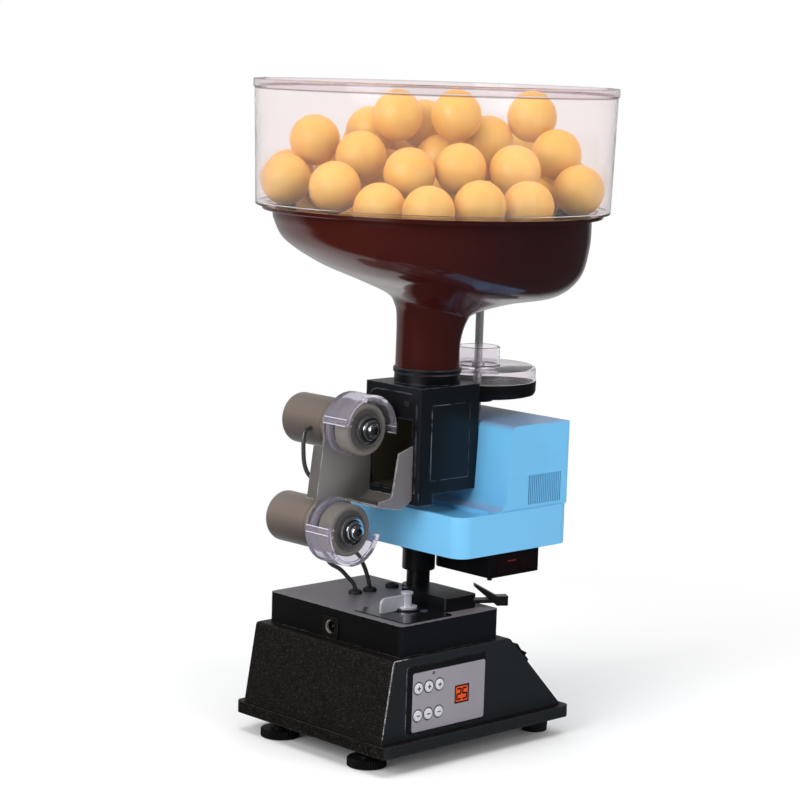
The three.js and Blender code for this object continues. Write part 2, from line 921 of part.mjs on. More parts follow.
const leafOutline = outline([
  [clampEnd, -clampSide / 2],
  [clampEnd, clampSide / 2],
  [clampEnd - clampBlockLength, clampSide / 2],
  [clampEnd - clampLeafLength, clampLeafRise + clampLeafThickness / 2],
  [clampEnd - clampLeafLength, clampLeafRise - clampLeafThickness / 2],
  [clampEnd - clampBlockLength, -clampSide / 2],
]);
const clampLeaf = toSolid(
  new THREE.ExtrudeGeometry(leafOutline, { depth: clampSide, bevelEnabled: false })
    .rotateX(Math.PI / 2)
    .translate(0, clampSide / 2, 0),
);
const clampScrew = cylinder(clampScrewRadius, fit, clampEnd, smallSides, { along: "x" });
piece("clamp_lever", clampLeaf.add(clampScrew), finishes.blackPlastic, clampPlace);

// Pivot post, driven from below by the sweep motor, and the collar that clamps the head on it.
const collarBottom = boxTop + collarRise;
const collarTop = collarBottom + collarHeight;
const sweepMotorTop = caseTop + sweepMotorHeight;
const postFoot = sweepMotorTop + fit;
const spigotFoot = postFoot - postSpigotLength;
const post = cylinder(postRadius, postFoot, collarTop - fit).add(cylinder(
  postSpigotRadius,
  spigotFoot,
  postFoot + fit,
  smallSides,
));
piece("pivot_post", post, finishes.slate, placeAt(pivot.x, pivot.y, 0));
const collar = turned(
  [
    [postRadius + fit, collarBottom],
    [collarRadius - collarStep, collarBottom],
    [collarRadius, collarBottom + collarStep],
    [collarRadius, collarTop - collarStepHeight],
    [collarRadius + collarStep, collarTop - collarStepHeight],
    [collarRadius + collarStep, collarTop],
    [postRadius + fit, collarTop],
    [postRadius + fit, collarBottom],
  ],
  mediumSides,
);
piece("pivot_collar", collar, finishes.slate, placeAt(pivot.x, pivot.y, 0));
const sweepMotor = cylinder(sweepMotorRadius, caseTop, sweepMotorTop).subtract(
  cylinder(postSpigotRadius + fit, spigotFoot - fit, sweepMotorTop + overrun, smallSides),
);
piece("sweep_motor", sweepMotor, finishes.steel, placeAt(pivot.x, pivot.y, 0));

// Tray: a deep blue shell under the feeder and housing, closed below by a plate.
const trayBottom = collarTop;
const trayTop = trayBottom + trayHeight;
const trayFront = pivot.y - trayForward;
const trayMiddle = trayFront + trayDepth / 2;

// Ball feeder: its bore takes balls from the hopper's neck, and its front opens towards the wheels.
const neckY = pivot.y + neckBack;
const feederFront = neckY - feederForward;
const feederRear = feederFront + feederDepth;
const feederBottom = trayTop + feederLift;
const feederTop = feederBottom + feederHeight;
const feederSide = feederWidth / 2;
const ballFloor = feederBottom + feederFloor;
const ballCeiling = ballFloor + exitHeight;
const feedZ = feederBottom + feedRise;
const neck = { x: 0, y: neckY };
const exitOpening = rectangle(0, (ballFloor + ballCeiling) / 2, exitWidth, exitHeight);
const exitPlateBottom = feederBottom + exitPlateRise;
const exitPlateOutline = (room) =>
  outline([
    [-exitPlateWidth / 2 - room, exitPlateBottom - room],
    [exitPlateWidth / 2 + room, exitPlateBottom - room],
    [exitPlateWidth / 2 + room, exitPlateBottom + exitPlateHeight + room, exitPlateCorner],
    [-exitPlateWidth / 2 - room, exitPlateBottom + exitPlateHeight + room, exitPlateCorner],
  ]);
const exitPlateFront = feederFront - exitPlateProud;
const exitPlateBack = exitPlateFront + exitPlateThickness;
const raised = rectangle(
  neckY - raisedForward - exitPlateThickness,
  feederBottom + raisedRise + raisedHeight / 2,
  raisedDepth,
  raisedHeight,
);
const plungerHole = slab(
  circle(0, feedZ, plungerRadius + fit),
  "y",
  neckY,
  feederRear + overrun,
  smallSides / 2,
);
const feeder = slab(
  rectangle(0, feederFront + feederDepth / 2, feederWidth, feederDepth, feederEdge),
  "z",
  feederBottom,
  feederTop,
)
  .add(box(
    0,
    feederFront + feederFootDepth / 2,
    feederBottom - feederFootHeight,
    feederWidth,
    feederFootDepth,
    feederFootHeight + feederEdge,
  ))
  .add(slab(raised, "x", feederSide - feederEdge, feederSide + panelRaise))
  .subtract(cylinder(ballBore, ballFloor, feederTop + overrun, mediumSides, neck))
  .subtract(slab(exitOpening, "y", feederFront - overrun, neckY))
  .subtract(slab(exitPlateOutline(fit), "y", feederFront - overrun, exitPlateBack))
  .subtract(plungerHole);
piece("feeder_box", feeder, finishes.slate);
piece(
  "exit_plate",
  slab(exitPlateOutline(0), "y", exitPlateFront, exitPlateBack).subtract(
    slab(exitOpening, "y", exitPlateFront - overrun, exitPlateBack + overrun),
  ),
  finishes.slate,
);
const neckBottom = feederTop + neckCollarHeight;
const spigotRadius = neckRadius - spigotStep;
const neckCollar = turned(
  [
    [spigotRadius + spigotGap, feederTop],
    [neckCollarRadius + neckCollarFlange, feederTop],
    [neckCollarRadius + neckCollarFlange, feederTop + neckCollarFlangeHeight],
    [neckCollarRadius, feederTop + neckCollarFlangeHeight],
    [neckCollarRadius, neckBottom],
    [spigotRadius + spigotGap, neckBottom],
    [spigotRadius + spigotGap, feederTop],
  ],
  largeSides,
);
piece("neck_collar", neckCollar, finishes.slate, placeAt(neck.x, neck.y, 0));

// Tray, with a shallow recess in front of the housing, and its base plate.
const trayRear = trayFront + trayDepth;
const housingFront = feederRear + fit;
const housingFoot = housingFront - housingDraft;
const housingToeY = housingFoot - housingToe;
const recessFront = trayFront + recessRim;
const recessOutline = rectangle(
  0,
  (recessFront + housingToeY) / 2,
  trayWidth - 2 * recessRim,
  housingToeY - recessFront,
  recessCorner,
);
const trayInside = (room) =>
  rectangle(
    0,
    trayMiddle,
    trayWidth - 2 * trayWall - 2 * room,
    trayDepth - 2 * trayWall - 2 * room,
    trayCorner - trayWall - room,
  );
const tray = slab(rectangle(0, trayMiddle, trayWidth, trayDepth, trayCorner), "z", trayBottom, trayTop)
  .subtract(slab(trayInside(0), "z", trayBottom - overrun, trayTop - recessDepth - trayWall))
  .subtract(slab(recessOutline, "z", trayTop - recessDepth, trayTop + overrun));
piece("tray", tray, finishes.blue);
piece(
  "tray_base",
  slab(trayInside(fit), "z", trayBottom, trayBottom + trayBaseThickness),
  finishes.blackPlastic,
);

// Receiver box with its window, under the tray beside the pivot.
const receiverRight = trayWidth / 2 - receiverSideStep;
const receiverX = receiverRight - receiverWidth / 2;
const receiverFront = pivot.y + receiverBack;
const receiverBottom = trayBottom - receiverHeight;
const windowOutline = (room) =>
  rectangle(
    receiverFront + windowBack + windowWidth / 2,
    receiverBottom + receiverHeight / 2,
    windowWidth + 2 * room,
    windowHeight + 2 * room,
  );
const receiver = slab(
  rectangle(receiverX, receiverFront + receiverDepth / 2, receiverWidth, receiverDepth, receiverCorner),
  "z",
  receiverBottom,
  trayBottom,
)
  .add(
    cylinder(receiverPinRadius, receiverBottom - receiverPinLength, receiverBottom + fit, smallSides, {
      x: receiverRight - receiverPinInset,
      y: receiverFront + receiverPinInset,
    }),
  )
  .subtract(
    cylinder(
      collarRadius + collarStep + fit,
      receiverBottom - overrun,
      trayBottom + overrun,
      mediumSides,
      pivot,
    ),
  )
  .subtract(slab(windowOutline(fit), "x", receiverRight - windowDepth - fit, receiverRight + overrun));
piece("receiver_box", receiver, finishes.blackPlastic);
piece(
  "receiver_window",
  slab(windowOutline(0), "x", receiverRight - windowDepth, receiverRight),
  finishes.windowRed,
);

// Housing: a shell on the tray, drafted in front, with a flared toe and a row of vents in each side.
const housingRear = trayRear;
const housingTop = trayTop + housingHeight;
const housingSide = trayWidth / 2 - housingSideStep;
const stir = { x: -stirAside, y: neckY + stirBack };
const housingOutside = outline([
  [housingToeY, trayTop],
  [housingRear, trayTop],
  [housingRear, housingTop, housingEdge],
  [housingFront, housingTop, housingEdge],
  [housingFoot, trayTop + housingToeRise, housingToeCurve],
]);
const housingInside = outline([
  [housingFront + housingWall, trayTop - overrun],
  [housingRear - housingWall, trayTop - overrun],
  [housingRear - housingWall, housingTop - housingWall, housingEdge - housingWall],
  [housingFront + housingWall, housingTop - housingWall, housingEdge - housingWall],
]);
const housingPlan = (wall) =>
  rectangle(
    0,
    (housingToeY + housingRear) / 2,
    2 * (housingSide - wall),
    housingRear - housingToeY - 2 * wall,
    housingCorner - wall,
  );
const housingRoom = slab(
  housingInside,
  "x",
  housingWall - housingSide,
  housingSide - housingWall,
).intersect(
  slab(housingPlan(housingWall), "z", trayTop - overrun, housingTop),
);
let housing = slab(housingOutside, "x", -housingSide, housingSide)
  .intersect(slab(housingPlan(0), "z", trayTop, housingTop))
  .subtract(housingRoom)
  .subtract(
    box(
      0,
      (feederFront + feederRear) / 2,
      feederBottom - fit,
      feederWidth + 2 * fit,
      feederDepth + 2 * fit,
      feederHeight,
    ),
  )
  .subtract(cylinder(shaftBore, housingTop - housingWall - overrun, housingTop + overrun, smallSides, stir))
  .subtract(slab(
    circle(0, feedZ, plungerRadius + fit),
    "y",
    feederRear,
    housingFront + housingWall + overrun,
    smallSides / 2,
  ));
for (let i = 0; i < ventCount; i++) {
  const y = housingRear - ventRearStep - i * ventPitch;
  const slot = box(0, y, trayTop + ventRise, 2 * housingSide + overrun, ventWidth, ventHeight);
  housing = housing.subtract(slot);
}
piece("housing", housing, finishes.blue);

// Feed motor on the tray, and the plunger that it drives through the wall to push one ball out.
const feedMotorFront = housingFront + housingWall + feedMotorBack;
const feedMotorRear = feedMotorFront + feedMotorLength;
const feedMotor = slab(
  circle(0, feedZ, feedMotorRadius),
  "y",
  feedMotorFront,
  feedMotorRear,
  mediumSides / 2,
)
  .add(box(
    0,
    (feedMotorFront + feedMotorRear) / 2,
    trayTop,
    feedMotorFootWidth,
    feedMotorLength - 2 * housingWall,
    feedRise + feederLift,
  ))
  .subtract(slab(
    circle(0, feedZ, plungerRadius + fit),
    "y",
    feedMotorFront - overrun,
    feedMotorFront + plungerEngagement,
    smallSides / 2,
  ));
piece("feed_motor", feedMotor, finishes.steel);
const plungerHeadRear = neckY + ballBore - plungerHeadStep;
const plunger = slab(
  circle(0, feedZ, plungerHeadRadius),
  "y",
  plungerHeadRear - plungerHeadThickness,
  plungerHeadRear,
  smallSides / 2,
).add(slab(
  circle(0, feedZ, plungerRadius),
  "y",
  plungerHeadRear - plungerHeadThickness / 2,
  feedMotorFront + plungerEngagement - fit,
  smallSides / 2,
));
piece("feed_plunger", plunger, finishes.buttonWhite);

// Wheel bracket. Everything on it is placed from the nip, where the wheels grip the ball, in a group
// pitched nose up: Y runs back along the ball's path and Z up across it.
const pitchAngle = THREE.MathUtils.degToRad(pitch);
const nipY = feederFront - nipReach;
const nipZ = feederBottom + nipRise;
const head = placeAt(0, nipY, nipZ);
head.rotation.x = -pitchAngle;
const cheekOutside = cheekInside + sheetMetal;
const wheelUp = wheelSpacing / 2;
const guardBack = fit - cheekInside;
const guardPlateBack = guardBack + guardStandoff;
const guardPlateFront = guardPlateBack + guardPlate;
const chuteOutline = (lift) =>
  outline([
    [bracketRear, cheekRearHeight - chuteDrop + lift],
    [cheekNotch, cheekHeight - chuteDrop + lift],
    [cheekNotch, cheekNotchHeight - chuteDrop + lift, cheekNotchCurve],
    [cheekToe, cheekToeHeight - chuteDrop + lift],
    [cheekToe, lift - chuteDrop],
    [chuteTail, lift - chuteDrop, chuteCorner],
    [bracketRear, chuteTailRise - chuteDrop + lift],
  ]);
const webOutline = outline([
  [bracketRear, -chuteDrop],
  [webRearWidth, -chuteDrop],
  [webRearWidth, -wheelUp],
  [-webFrontBottom, -wheelUp],
  [-webFrontTop, wheelUp],
  [webRearWidth, wheelUp],
  [webRearWidth + sheetMetal, webTopHeight - chuteDrop],
  [bracketRear, webTopHeight - chuteDrop],
]);
const frontAt = (z) => -THREE.MathUtils.mapLinear(z, -wheelUp, wheelUp, webFrontBottom, webFrontTop);
const lipOutline = outline([
  [frontAt(-lipReach), -lipReach],
  [frontAt(-lipReach) + sheetMetal, -lipReach],
  [frontAt(lipReach) + sheetMetal, lipReach],
  [frontAt(lipReach), lipReach],
]);
const guardSlot = cylinder(
  guardRadius + fit,
  guardPlateBack - fit,
  guardPlateFront + fit,
  largeSides,
  { z: -wheelUp, along: "x" },
);
let bracket = slab(chuteOutline(0), "x", -cheekOutside, cheekOutside)
  .subtract(slab(chuteOutline(sheetMetal), "x", -cheekInside, cheekInside))
  .subtract(guardSlot)
  .add(slab(webOutline, "x", -cheekOutside, -cheekInside))
  .add(slab(lipOutline, "x", -cheekOutside - lipWidth, -cheekInside));
for (const side of [-1, 1])
  bracket = bracket
    .add(slab(circle(0, side * wheelUp, lobeRadius), "x", -cheekOutside, -cheekInside, mediumSides / 2))
    .subtract(slab(
      circle(0, side * wheelUp, shaftHole),
      "x",
      -cheekOutside - overrun,
      overrun - cheekInside,
      smallSides / 2,
    ));
const feederClear = toSolid(
  new THREE.BoxGeometry(4 * cheekOutside, 2 * bracketRear, 8 * wheelUp)
    .translate(0, bracketRear + nipReach - exitPlateProud - fit, 0)
    .rotateX(pitchAngle),
);
piece("wheel_bracket", bracket.subtract(feederClear), finishes.sheetMetal, head);

// Each wheel: a foam tyre on a bright hub, whose shaft runs through the guard and the cheek into its motor.
const wheelFace = wheelFront - wheelFaceDepth;
const tyre = turned(
  [
    [hubRadius + fit, -wheelBack],
    [wheelRadius - wheelEdgeDrop, -wheelBack],
    [wheelRadius, wheelEdgeDrop - wheelBack],
    [wheelRadius, wheelFront - wheelEdgeDrop],
    [wheelRadius - wheelEdgeDrop, wheelFront],
    [wheelFaceRadius, wheelFront],
    [wheelFaceRadius, wheelFace],
    [hubRadius + fit, wheelFace],
    [hubRadius + fit, -wheelBack],
  ],
  largeSides,
  { along: "x" },
);
const hubFront = wheelFront + hubProud;
const hubDiscFront = wheelFace + hubDiscThickness;
const hubCollarFront = wheelFront + hubCollarProud;
const shaftEnd = -cheekOutside - shaftInMotor;
const hub = turned(
  [
    [0, shaftEnd],
    [shaftRadius, shaftEnd],
    [shaftRadius, -wheelBack],
    [hubRadius, -wheelBack],
    [hubRadius, wheelFace],
    [hubDiscRadius, wheelFace],
    [hubDiscRadius, hubDiscFront],
    [hubCollarRadius, hubDiscFront],
    [hubCollarRadius, hubCollarFront],
    [hubRadius, hubCollarFront],
    [hubRadius, hubFront],
    [0, hubFront],
  ],
  mediumSides,
  { along: "x" },
).subtract(cylinder(hubSocket, hubFront - hubSocketDepth, hubFront + overrun, 6, { along: "x" }));
const motorRear = -cheekOutside - motorLength;
const motor = turned(
  [
    [0, motorRear],
    ...bend(motorRadius - motorRound, motorRear + motorRound, motorRound, -90, 0),
    [motorRadius, -cheekOutside],
    [shaftRadius + fit, -cheekOutside],
    [shaftRadius + fit, shaftEnd - fit],
    [0, shaftEnd - fit],
  ],
  largeSides,
  { along: "x" },
);

// A clear guard: a round plate behind the wheel, wider in its upper half, a half shell over the wheel,
// and a half ring in front with ribbed ends.
const guardFrontBack = wheelFront + guardFrontGap;
const guardFront = guardFrontBack + guardWall;
function halfRing(inner, outer) {
  const shape = new THREE.Shape().absarc(0, 0, outer, 0, Math.PI);
  return shape.absarc(0, 0, inner, Math.PI, 0, true);
}
let guard = tube(guardBore, guardLowerRadius, guardPlateBack, guardPlateFront, largeSides, { along: "x" })
  .add(slab(halfRing(guardBossRadius, guardRadius), "x", guardPlateBack, guardPlateFront, largeSides / 4))
  .add(tube(guardBore, guardBossRadius, guardBack, guardPlateFront, mediumSides, { along: "x" }))
  .add(slab(
    halfRing(guardRadius - guardWall, guardRadius),
    "x",
    guardPlateFront - guardWall,
    guardFront,
    largeSides / 4,
  ))
  .add(slab(halfRing(guardRim, guardRadius), "x", guardFrontBack, guardFront, largeSides / 4));
for (const side of [-1, 1])
  for (const rise of [0, guardRibPitch]) {
    const middle = side * (guardRibInner + (guardRadius - guardWall - guardRibInner) / 2);
    const depth = guardRadius - guardWall / 2 - guardRibInner - guardWall / 2;
    guard = guard
      .add(box(guardFrontBack + guardWall / 2, middle, rise, guardWall, depth, guardRibThickness))
      .add(
        box(
          (guardPlateFront + guardFront) / 2,
          side * (guardRadius - guardRibDepth),
          rise,
          guardFront - guardPlateFront,
          guardRibDepth,
          guardRibThickness,
        ),
      );
  }
for (const [name, side] of Object.entries({ upper: 1, lower: -1 })) {
  const place = placeAt(0, 0, side * wheelUp, head);
  const guardPlace = placeAt(0, 0, 0, place);
  if (side < 0) guardPlace.rotation.x = Math.PI;
  piece("wheel_" + name, tyre, finishes.foamGrey, place);
  piece("hub_" + name, hub, finishes.brightMetal, place);
  piece("motor_" + name, motor, finishes.motorBrown, place);
  piece("guard_" + name, guard, finishes.clear, guardPlace);
}

// Hopper bowl: a wall carried round the neck's axis. Its profile is shallow on one side and deep on the
// other, and turns smoothly from one to the other.
const bowlTurnAngle = THREE.MathUtils.degToRad(bowlTurn);
const [shallow, deep] = [shallowShares, deepShares].map((shares) => {
  const points = shares.map(([across, up]) => {
    return new THREE.Vector2(neckRadius + across * (lipRadius - neckRadius), up * bowlHeight);
  });
  return new THREE.SplineCurve(points);
});
function bowlProfile(angle, share) {
  const deepness = (1 + Math.cos(angle - bowlTurnAngle)) / 2;
  return shallow.getPoint(share).lerp(deep.getPoint(share), deepness);
}
function bowlLoop(angle) {
  const outer = Array.from({ length: bowlSteps + 1 }, (_, i) => bowlProfile(angle, i / bowlSteps));
  const inner = outer.map((point, i) => {
    const before = outer[Math.max(i - 1, 0)];
    const after = outer[Math.min(i + 1, bowlSteps)];
    const along = after.clone().sub(before).normalize();
    return new THREE.Vector2(-along.y, along.x).multiplyScalar(bowlWall).add(point);
  });
  inner[0].y = 0;
  const lip = [
    new THREE.Vector2(lipRadius, bowlHeight - lipThickness),
    new THREE.Vector2(lipRadius, bowlHeight),
    new THREE.Vector2(inner.at(-1).x, bowlHeight),
  ];
  return [...outer, ...lip, ...inner.reverse()];
}
function bowlGeometry() {
  const loops = Array.from({ length: bowlRings }, (_, i) => {
    const angle = (2 * Math.PI * i) / bowlRings;
    return bowlLoop(angle).map((point) => {
      return [point.x * Math.cos(angle), point.x * Math.sin(angle), point.y];
    });
  });
  const count = loops[0].length;
  const index = [];
  for (let i = 0; i < bowlRings; i++)
    for (let j = 0; j < count; j++) {
      const next = ((i + 1) % bowlRings) * count;
      const [a, b, c, d] = [
        i * count + j,
        next + j,
        next + ((j + 1) % count),
        i * count + ((j + 1) % count),
      ];
      index.push(a, b, c, a, c, d);
    }
  const positions = new THREE.Float32BufferAttribute(loops.flat(2), 3);
  return new THREE.BufferGeometry().setAttribute("position", positions).setIndex(index);
}
const bowlPlace = placeAt(neck.x, neck.y, neckBottom);
const stirAngle = Math.atan2(stirBack, -stirAside);
const stirRadius = Math.hypot(stirBack, stirAside);
const stirShareStep = 0.001;
let stirShare = 1;
while (bowlProfile(stirAngle, stirShare).x > stirRadius) stirShare -= stirShareStep;
const stirSeat = bowlProfile(stirAngle, stirShare).y;
const stirInBowl = { x: -stirAside, y: stirBack };
const bowl = toSolid(bowlGeometry())
  .add(tube(neckRadius - bowlWall, spigotRadius, -spigotLength, bowlWall, largeSides))
  .add(cylinder(bushRadius, stirSeat - bushHeight, stirSeat + bowlWall, smallSides, stirInBowl))
  .subtract(cylinder(
    shaftBore,
    stirSeat - bushHeight - overrun,
    stirSeat + 2 * bowlWall + overrun,
    smallSides,
    stirInBowl,
  ));
piece("hopper_bowl", bowl, finishes.bowl, bowlPlace);

// Clear ring: its foot stands on the bowl's lip and reaches beyond it, and its top edge is rolled.
const ringBottomRadius = lipRadius + ringOverhang;
const ringFootRadius = ringBottomRadius - ringFootWidth;
const ringWallTop = ringTopRadius - ringLipProud;
const ring = turned(
  [
    [ringFootRadius, 0],
    [ringBottomRadius, 0],
    [ringWallTop, ringHeight - ringLip],
    [ringTopRadius, ringHeight - ringLip + ringLipProud],
    [ringTopRadius, ringHeight],
    [ringWallTop - ringWall, ringHeight],
    [ringBottomRadius - ringWall, ringFootThickness],
    [ringFootRadius, ringFootThickness],
    [ringFootRadius, 0],
  ],
  largeSides + smallSides,
);
piece("hopper_ring", ring, finishes.clear, placeAt(neck.x, neck.y, neckBottom + bowlHeight));

// Stirrer drive: a dish with a boss round its shaft, on a post that stands on the housing beside the
// shaft; its clear cover, and the motor below it in the housing.
const stirPlace = placeAt(stir.x, stir.y, 0);
const dishBottom = housingTop + dishRise;
const dishTop = dishBottom + dishHeight;
const dish = turned(
  [
    [shaftBore, dishBottom - dishBossDrop],
    [dishBossRadius, dishBottom - dishBossDrop],
    [dishBossRadius, dishBottom],
    [dishRadius - dishWall, dishBottom],
    [dishRadius, dishBottom + dishWall],
    [dishRadius, dishTop],
    [dishRadius - dishWall, dishTop],
    [dishRadius - dishWall, dishBottom + dishWall],
    [shaftBore, dishBottom + dishWall],
    [shaftBore, dishBottom - dishBossDrop],
  ],
  largeSides,
).add(
  cylinder(
    dishPostRadius,
    housingTop,
    dishBottom + dishWall,
    smallSides,
    { x: -dishPostStep, y: -dishPostStep },
  ),
);
piece("drive_dish", dish, finishes.blackPlastic, stirPlace);
const coverRadius = dishRadius - coverStep;
const coverTop = dishTop + coverHeight;
const chimneyTop = coverTop + chimneyHeight;
const cover = turned(
  [
    [coverRadius - coverWall, dishTop],
    [coverRadius, dishTop],
    [coverRadius, coverTop],
    [chimneyRadius, coverTop],
    [chimneyRadius, chimneyTop],
    [shaftBore, chimneyTop],
    [shaftBore, chimneyTop - coverWall],
    [chimneyRadius - coverWall, chimneyTop - coverWall],
    [chimneyRadius - coverWall, coverTop - coverWall - chimneyDrop],
    [chimneyRadius, coverTop - coverWall - chimneyDrop],
    [chimneyRadius, coverTop - coverWall],
    [coverRadius - coverWall, coverTop - coverWall],
    [coverRadius - coverWall, dishTop],
  ],
  largeSides,
);
piece("drive_cover", cover, finishes.clear, stirPlace);
const stirMotorTop = housingTop - housingWall;
const shaftFoot = stirMotorTop - stirShaftSeat;
const stirMotor = cylinder(stirMotorRadius, stirMotorTop - stirMotorHeight, stirMotorTop).subtract(
  cylinder(stirShaftRadius + fit, shaftFoot - fit, stirMotorTop + overrun, smallSides),
);
piece("stir_motor", stirMotor, finishes.steel, stirPlace);

// Stirrer: a bright shaft with a collar in the cover, and a paddle low in the bowl.
const paddleBottom = neckBottom + stirSeat + paddleClear;
const paddleTop = paddleBottom + paddleHeight;
const shaftCollarBottom = dishTop + shaftCollarRise;
const stirShaft = cylinder(stirShaftRadius, shaftFoot, paddleTop, smallSides).add(
  cylinder(shaftCollarRadius, shaftCollarBottom, shaftCollarBottom + shaftCollarHeight, smallSides),
);
piece("stir_shaft", stirShaft, finishes.brightMetal, stirPlace);
let paddle = cylinder(paddleHubRadius, paddleBottom, paddleTop, smallSides);
for (let i = 0; i < paddleArms; i++) {
  const arm = new THREE.BoxGeometry(paddleReach, paddleThickness, paddleHeight)
    .translate(paddleReach / 2, 0, paddleBottom + paddleHeight / 2)
    .rotateZ((2 * Math.PI * i) / paddleArms);
  paddle = paddle.add(toSolid(arm));
}
paddle = paddle.subtract(
  cylinder(stirShaftRadius + fit, paddleBottom - overrun, paddleTop + overrun, smallSides),
);
piece("stir_paddle", paddle, finishes.blackPlastic, stirPlace);

// Motor leads: one from each motor down to its grommet.
const leadRoutes = {
  lower: [
    [-33, -62.6, 153.9],
    [-32.4, -61.2, 148.2],
    [-30.6, -56.4, 141],
    [-30, -46.3, 135],
    [-30, -37.8, 127.5],
    [-30, -31.4, 121.5],
    [-30, -29, 117.3],
  ],
  upper: [
    [-39.5, -73.4, 250.5],
    [-39, -79.6, 248.6],
    [-38, -82, 240],
    [-37.5, -80.6, 222],
    [-37, -73.5, 211],
    [-34, -59.5, 203],
    [-31.5, -46, 195],
    [-31, -43.5, 180],
    [-31, -42.6, 162],
    [-30, -37, 152],
    [-30, -27.9, 144.5],
    [-30, -21.5, 136.5],
    [-30, -16.2, 126],
    [-30, -13.1, 117.3],
  ],
};
for (const [name, route] of Object.entries(leadRoutes)) {
  const path = new THREE.CatmullRomCurve3(route.map((point) => new THREE.Vector3(...point)));
  const geometry = new THREE.ExtrudeGeometry(circle(0, 0, leadRadius), {
    steps: leadSteps,
    extrudePath: path,
    curveSegments: leadSides / 2,
  });
  piece("lead_" + name, toSolid(geometry), finishes.rubber);
}

// The frame's origin lies on the table, below the middle of the hopper.
robot.position.y = -neckY;

export default robot;
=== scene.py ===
# A table tennis robot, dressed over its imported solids: balls roll from a round hopper into a feeder, and
# two foam wheels throw them towards -Y from a head that sweeps on a heavy base. Metres, Z up.
import math

import bmesh
import bpy
import numpy as np
from mathutils import Matrix, Vector


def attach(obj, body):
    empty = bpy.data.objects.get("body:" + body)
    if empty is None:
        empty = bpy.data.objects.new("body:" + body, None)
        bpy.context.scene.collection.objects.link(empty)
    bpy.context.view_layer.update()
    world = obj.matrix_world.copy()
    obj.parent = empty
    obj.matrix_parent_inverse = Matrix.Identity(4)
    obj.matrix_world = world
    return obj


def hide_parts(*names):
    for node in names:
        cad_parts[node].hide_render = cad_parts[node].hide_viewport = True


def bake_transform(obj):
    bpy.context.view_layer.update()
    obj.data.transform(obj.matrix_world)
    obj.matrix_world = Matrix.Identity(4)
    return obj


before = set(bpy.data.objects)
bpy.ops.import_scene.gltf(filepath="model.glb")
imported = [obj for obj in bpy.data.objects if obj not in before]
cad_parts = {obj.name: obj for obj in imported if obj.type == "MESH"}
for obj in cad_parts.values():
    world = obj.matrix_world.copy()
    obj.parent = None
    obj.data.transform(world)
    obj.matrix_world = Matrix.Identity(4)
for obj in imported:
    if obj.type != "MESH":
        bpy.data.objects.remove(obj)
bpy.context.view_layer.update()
mm = 0.001

# Camera: a long lens a little above the table, turned slightly clockwise. Its place and its field come
# from fitting the robot's own corners to the picture, which is 800 by 800 pixels.
picture = 800
focal_pixels = 2409.8
camera_place = (1.3604, -1.3411, 0.5452)
azimuth, elevation, roll = np.radians((46.04, 8.19, -1.84))
camera_data = bpy.data.cameras.new("camera")
camera_data.sensor_width = 36
camera_data.lens = focal_pixels / picture * camera_data.sensor_width
camera = bpy.data.objects.new("camera", camera_data)
bpy.context.scene.collection.objects.link(camera)
bpy.context.scene.camera = camera
bpy.context.scene.view_settings.view_transform = "Standard"
look_right = np.array((math.cos(azimuth), math.sin(azimuth), 0))
look_back = np.array((
    math.sin(azimuth) * math.cos(elevation),
    -math.cos(azimuth) * math.cos(elevation),
    math.sin(elevation),
))
look_up = np.cross(look_back, look_right)
camera_right = math.cos(roll) * look_right - math.sin(roll) * look_up
camera_up = math.sin(roll) * look_right + math.cos(roll) * look_up
camera_axes = Matrix((camera_right, camera_up, look_back)).transposed()
camera.matrix_world = Matrix.LocRotScale(Vector(camera_place), camera_axes.to_quaternion(), None)


# Studio: a pale floor that fades to white, a backdrop that is white behind the robot and dim on the
# camera's side, and large soft lamps in front, at one side and above. Glossy pieces mirror a dark room
# that is pale behind them and on their left.
def tint(red, green, blue, strength=1.0):
    """Linear colour of display bytes: the standard curve from a screen's values to light."""
    share = np.array((red, green, blue)) / 255
    light = np.where(share <= 0.04045, share / 12.92, ((share + 0.055) / 1.055) ** 2.4)
    return (*(light * strength), 1.0)


def plain_material(name, **sockets):
    """A new material with socket values of its shader, their names written with underscores."""
    material = bpy.data.materials.new(name)
    material.use_nodes = True
    shader = material.node_tree.nodes["Principled BSDF"]
    for word, value in sockets.items():
        shader.inputs[word.replace("_", " ")].default_value = value
    return material, material.node_tree, shader


def node(tree, kind, inputs=None, **settings):
    """A node with its settings, and each input set to a value or joined to a socket."""
    made = tree.nodes.new(kind)
    for name, value in settings.items():
        setattr(made, name, value)
    for name, value in (inputs or {}).items():
        if isinstance(value, bpy.types.NodeSocket):
            tree.links.new(value, made.inputs[name])
        else:
            made.inputs[name].default_value = value
    return made


def combined(tree, operation, *values):
    """Result of an operation on values or sockets."""
    return node(tree, "ShaderNodeMath", dict(enumerate(values)), operation=operation).outputs[0]


def ranged(tree, value, low, high, to_low=0.0, to_high=1.0, ease="LINEAR"):
    """A value taken from low...high to another range, and held at its ends."""
    inputs = {"Value": value, "From Min": low, "From Max": high, "To Min": to_low, "To Max": to_high}
    return node(tree, "ShaderNodeMapRange", inputs, interpolation_type=ease).outputs[0]


def toward(tree, place, direction):
    """How far a place lies along a direction."""
    inputs = {0: place, 1: direction}
    return node(tree, "ShaderNodeVectorMath", inputs, operation="DOT_PRODUCT").outputs["Value"]


def object_place(tree):
    return node(tree, "ShaderNodeTexCoord").outputs["Object"]


def show_white(tree):
    """Mask of the rays that see the background itself: camera and transmission rays."""
    path = node(tree, "ShaderNodeLightPath").outputs
    return combined(tree, "MAXIMUM", path["Is Camera Ray"], path["Is Transmission Ray"])


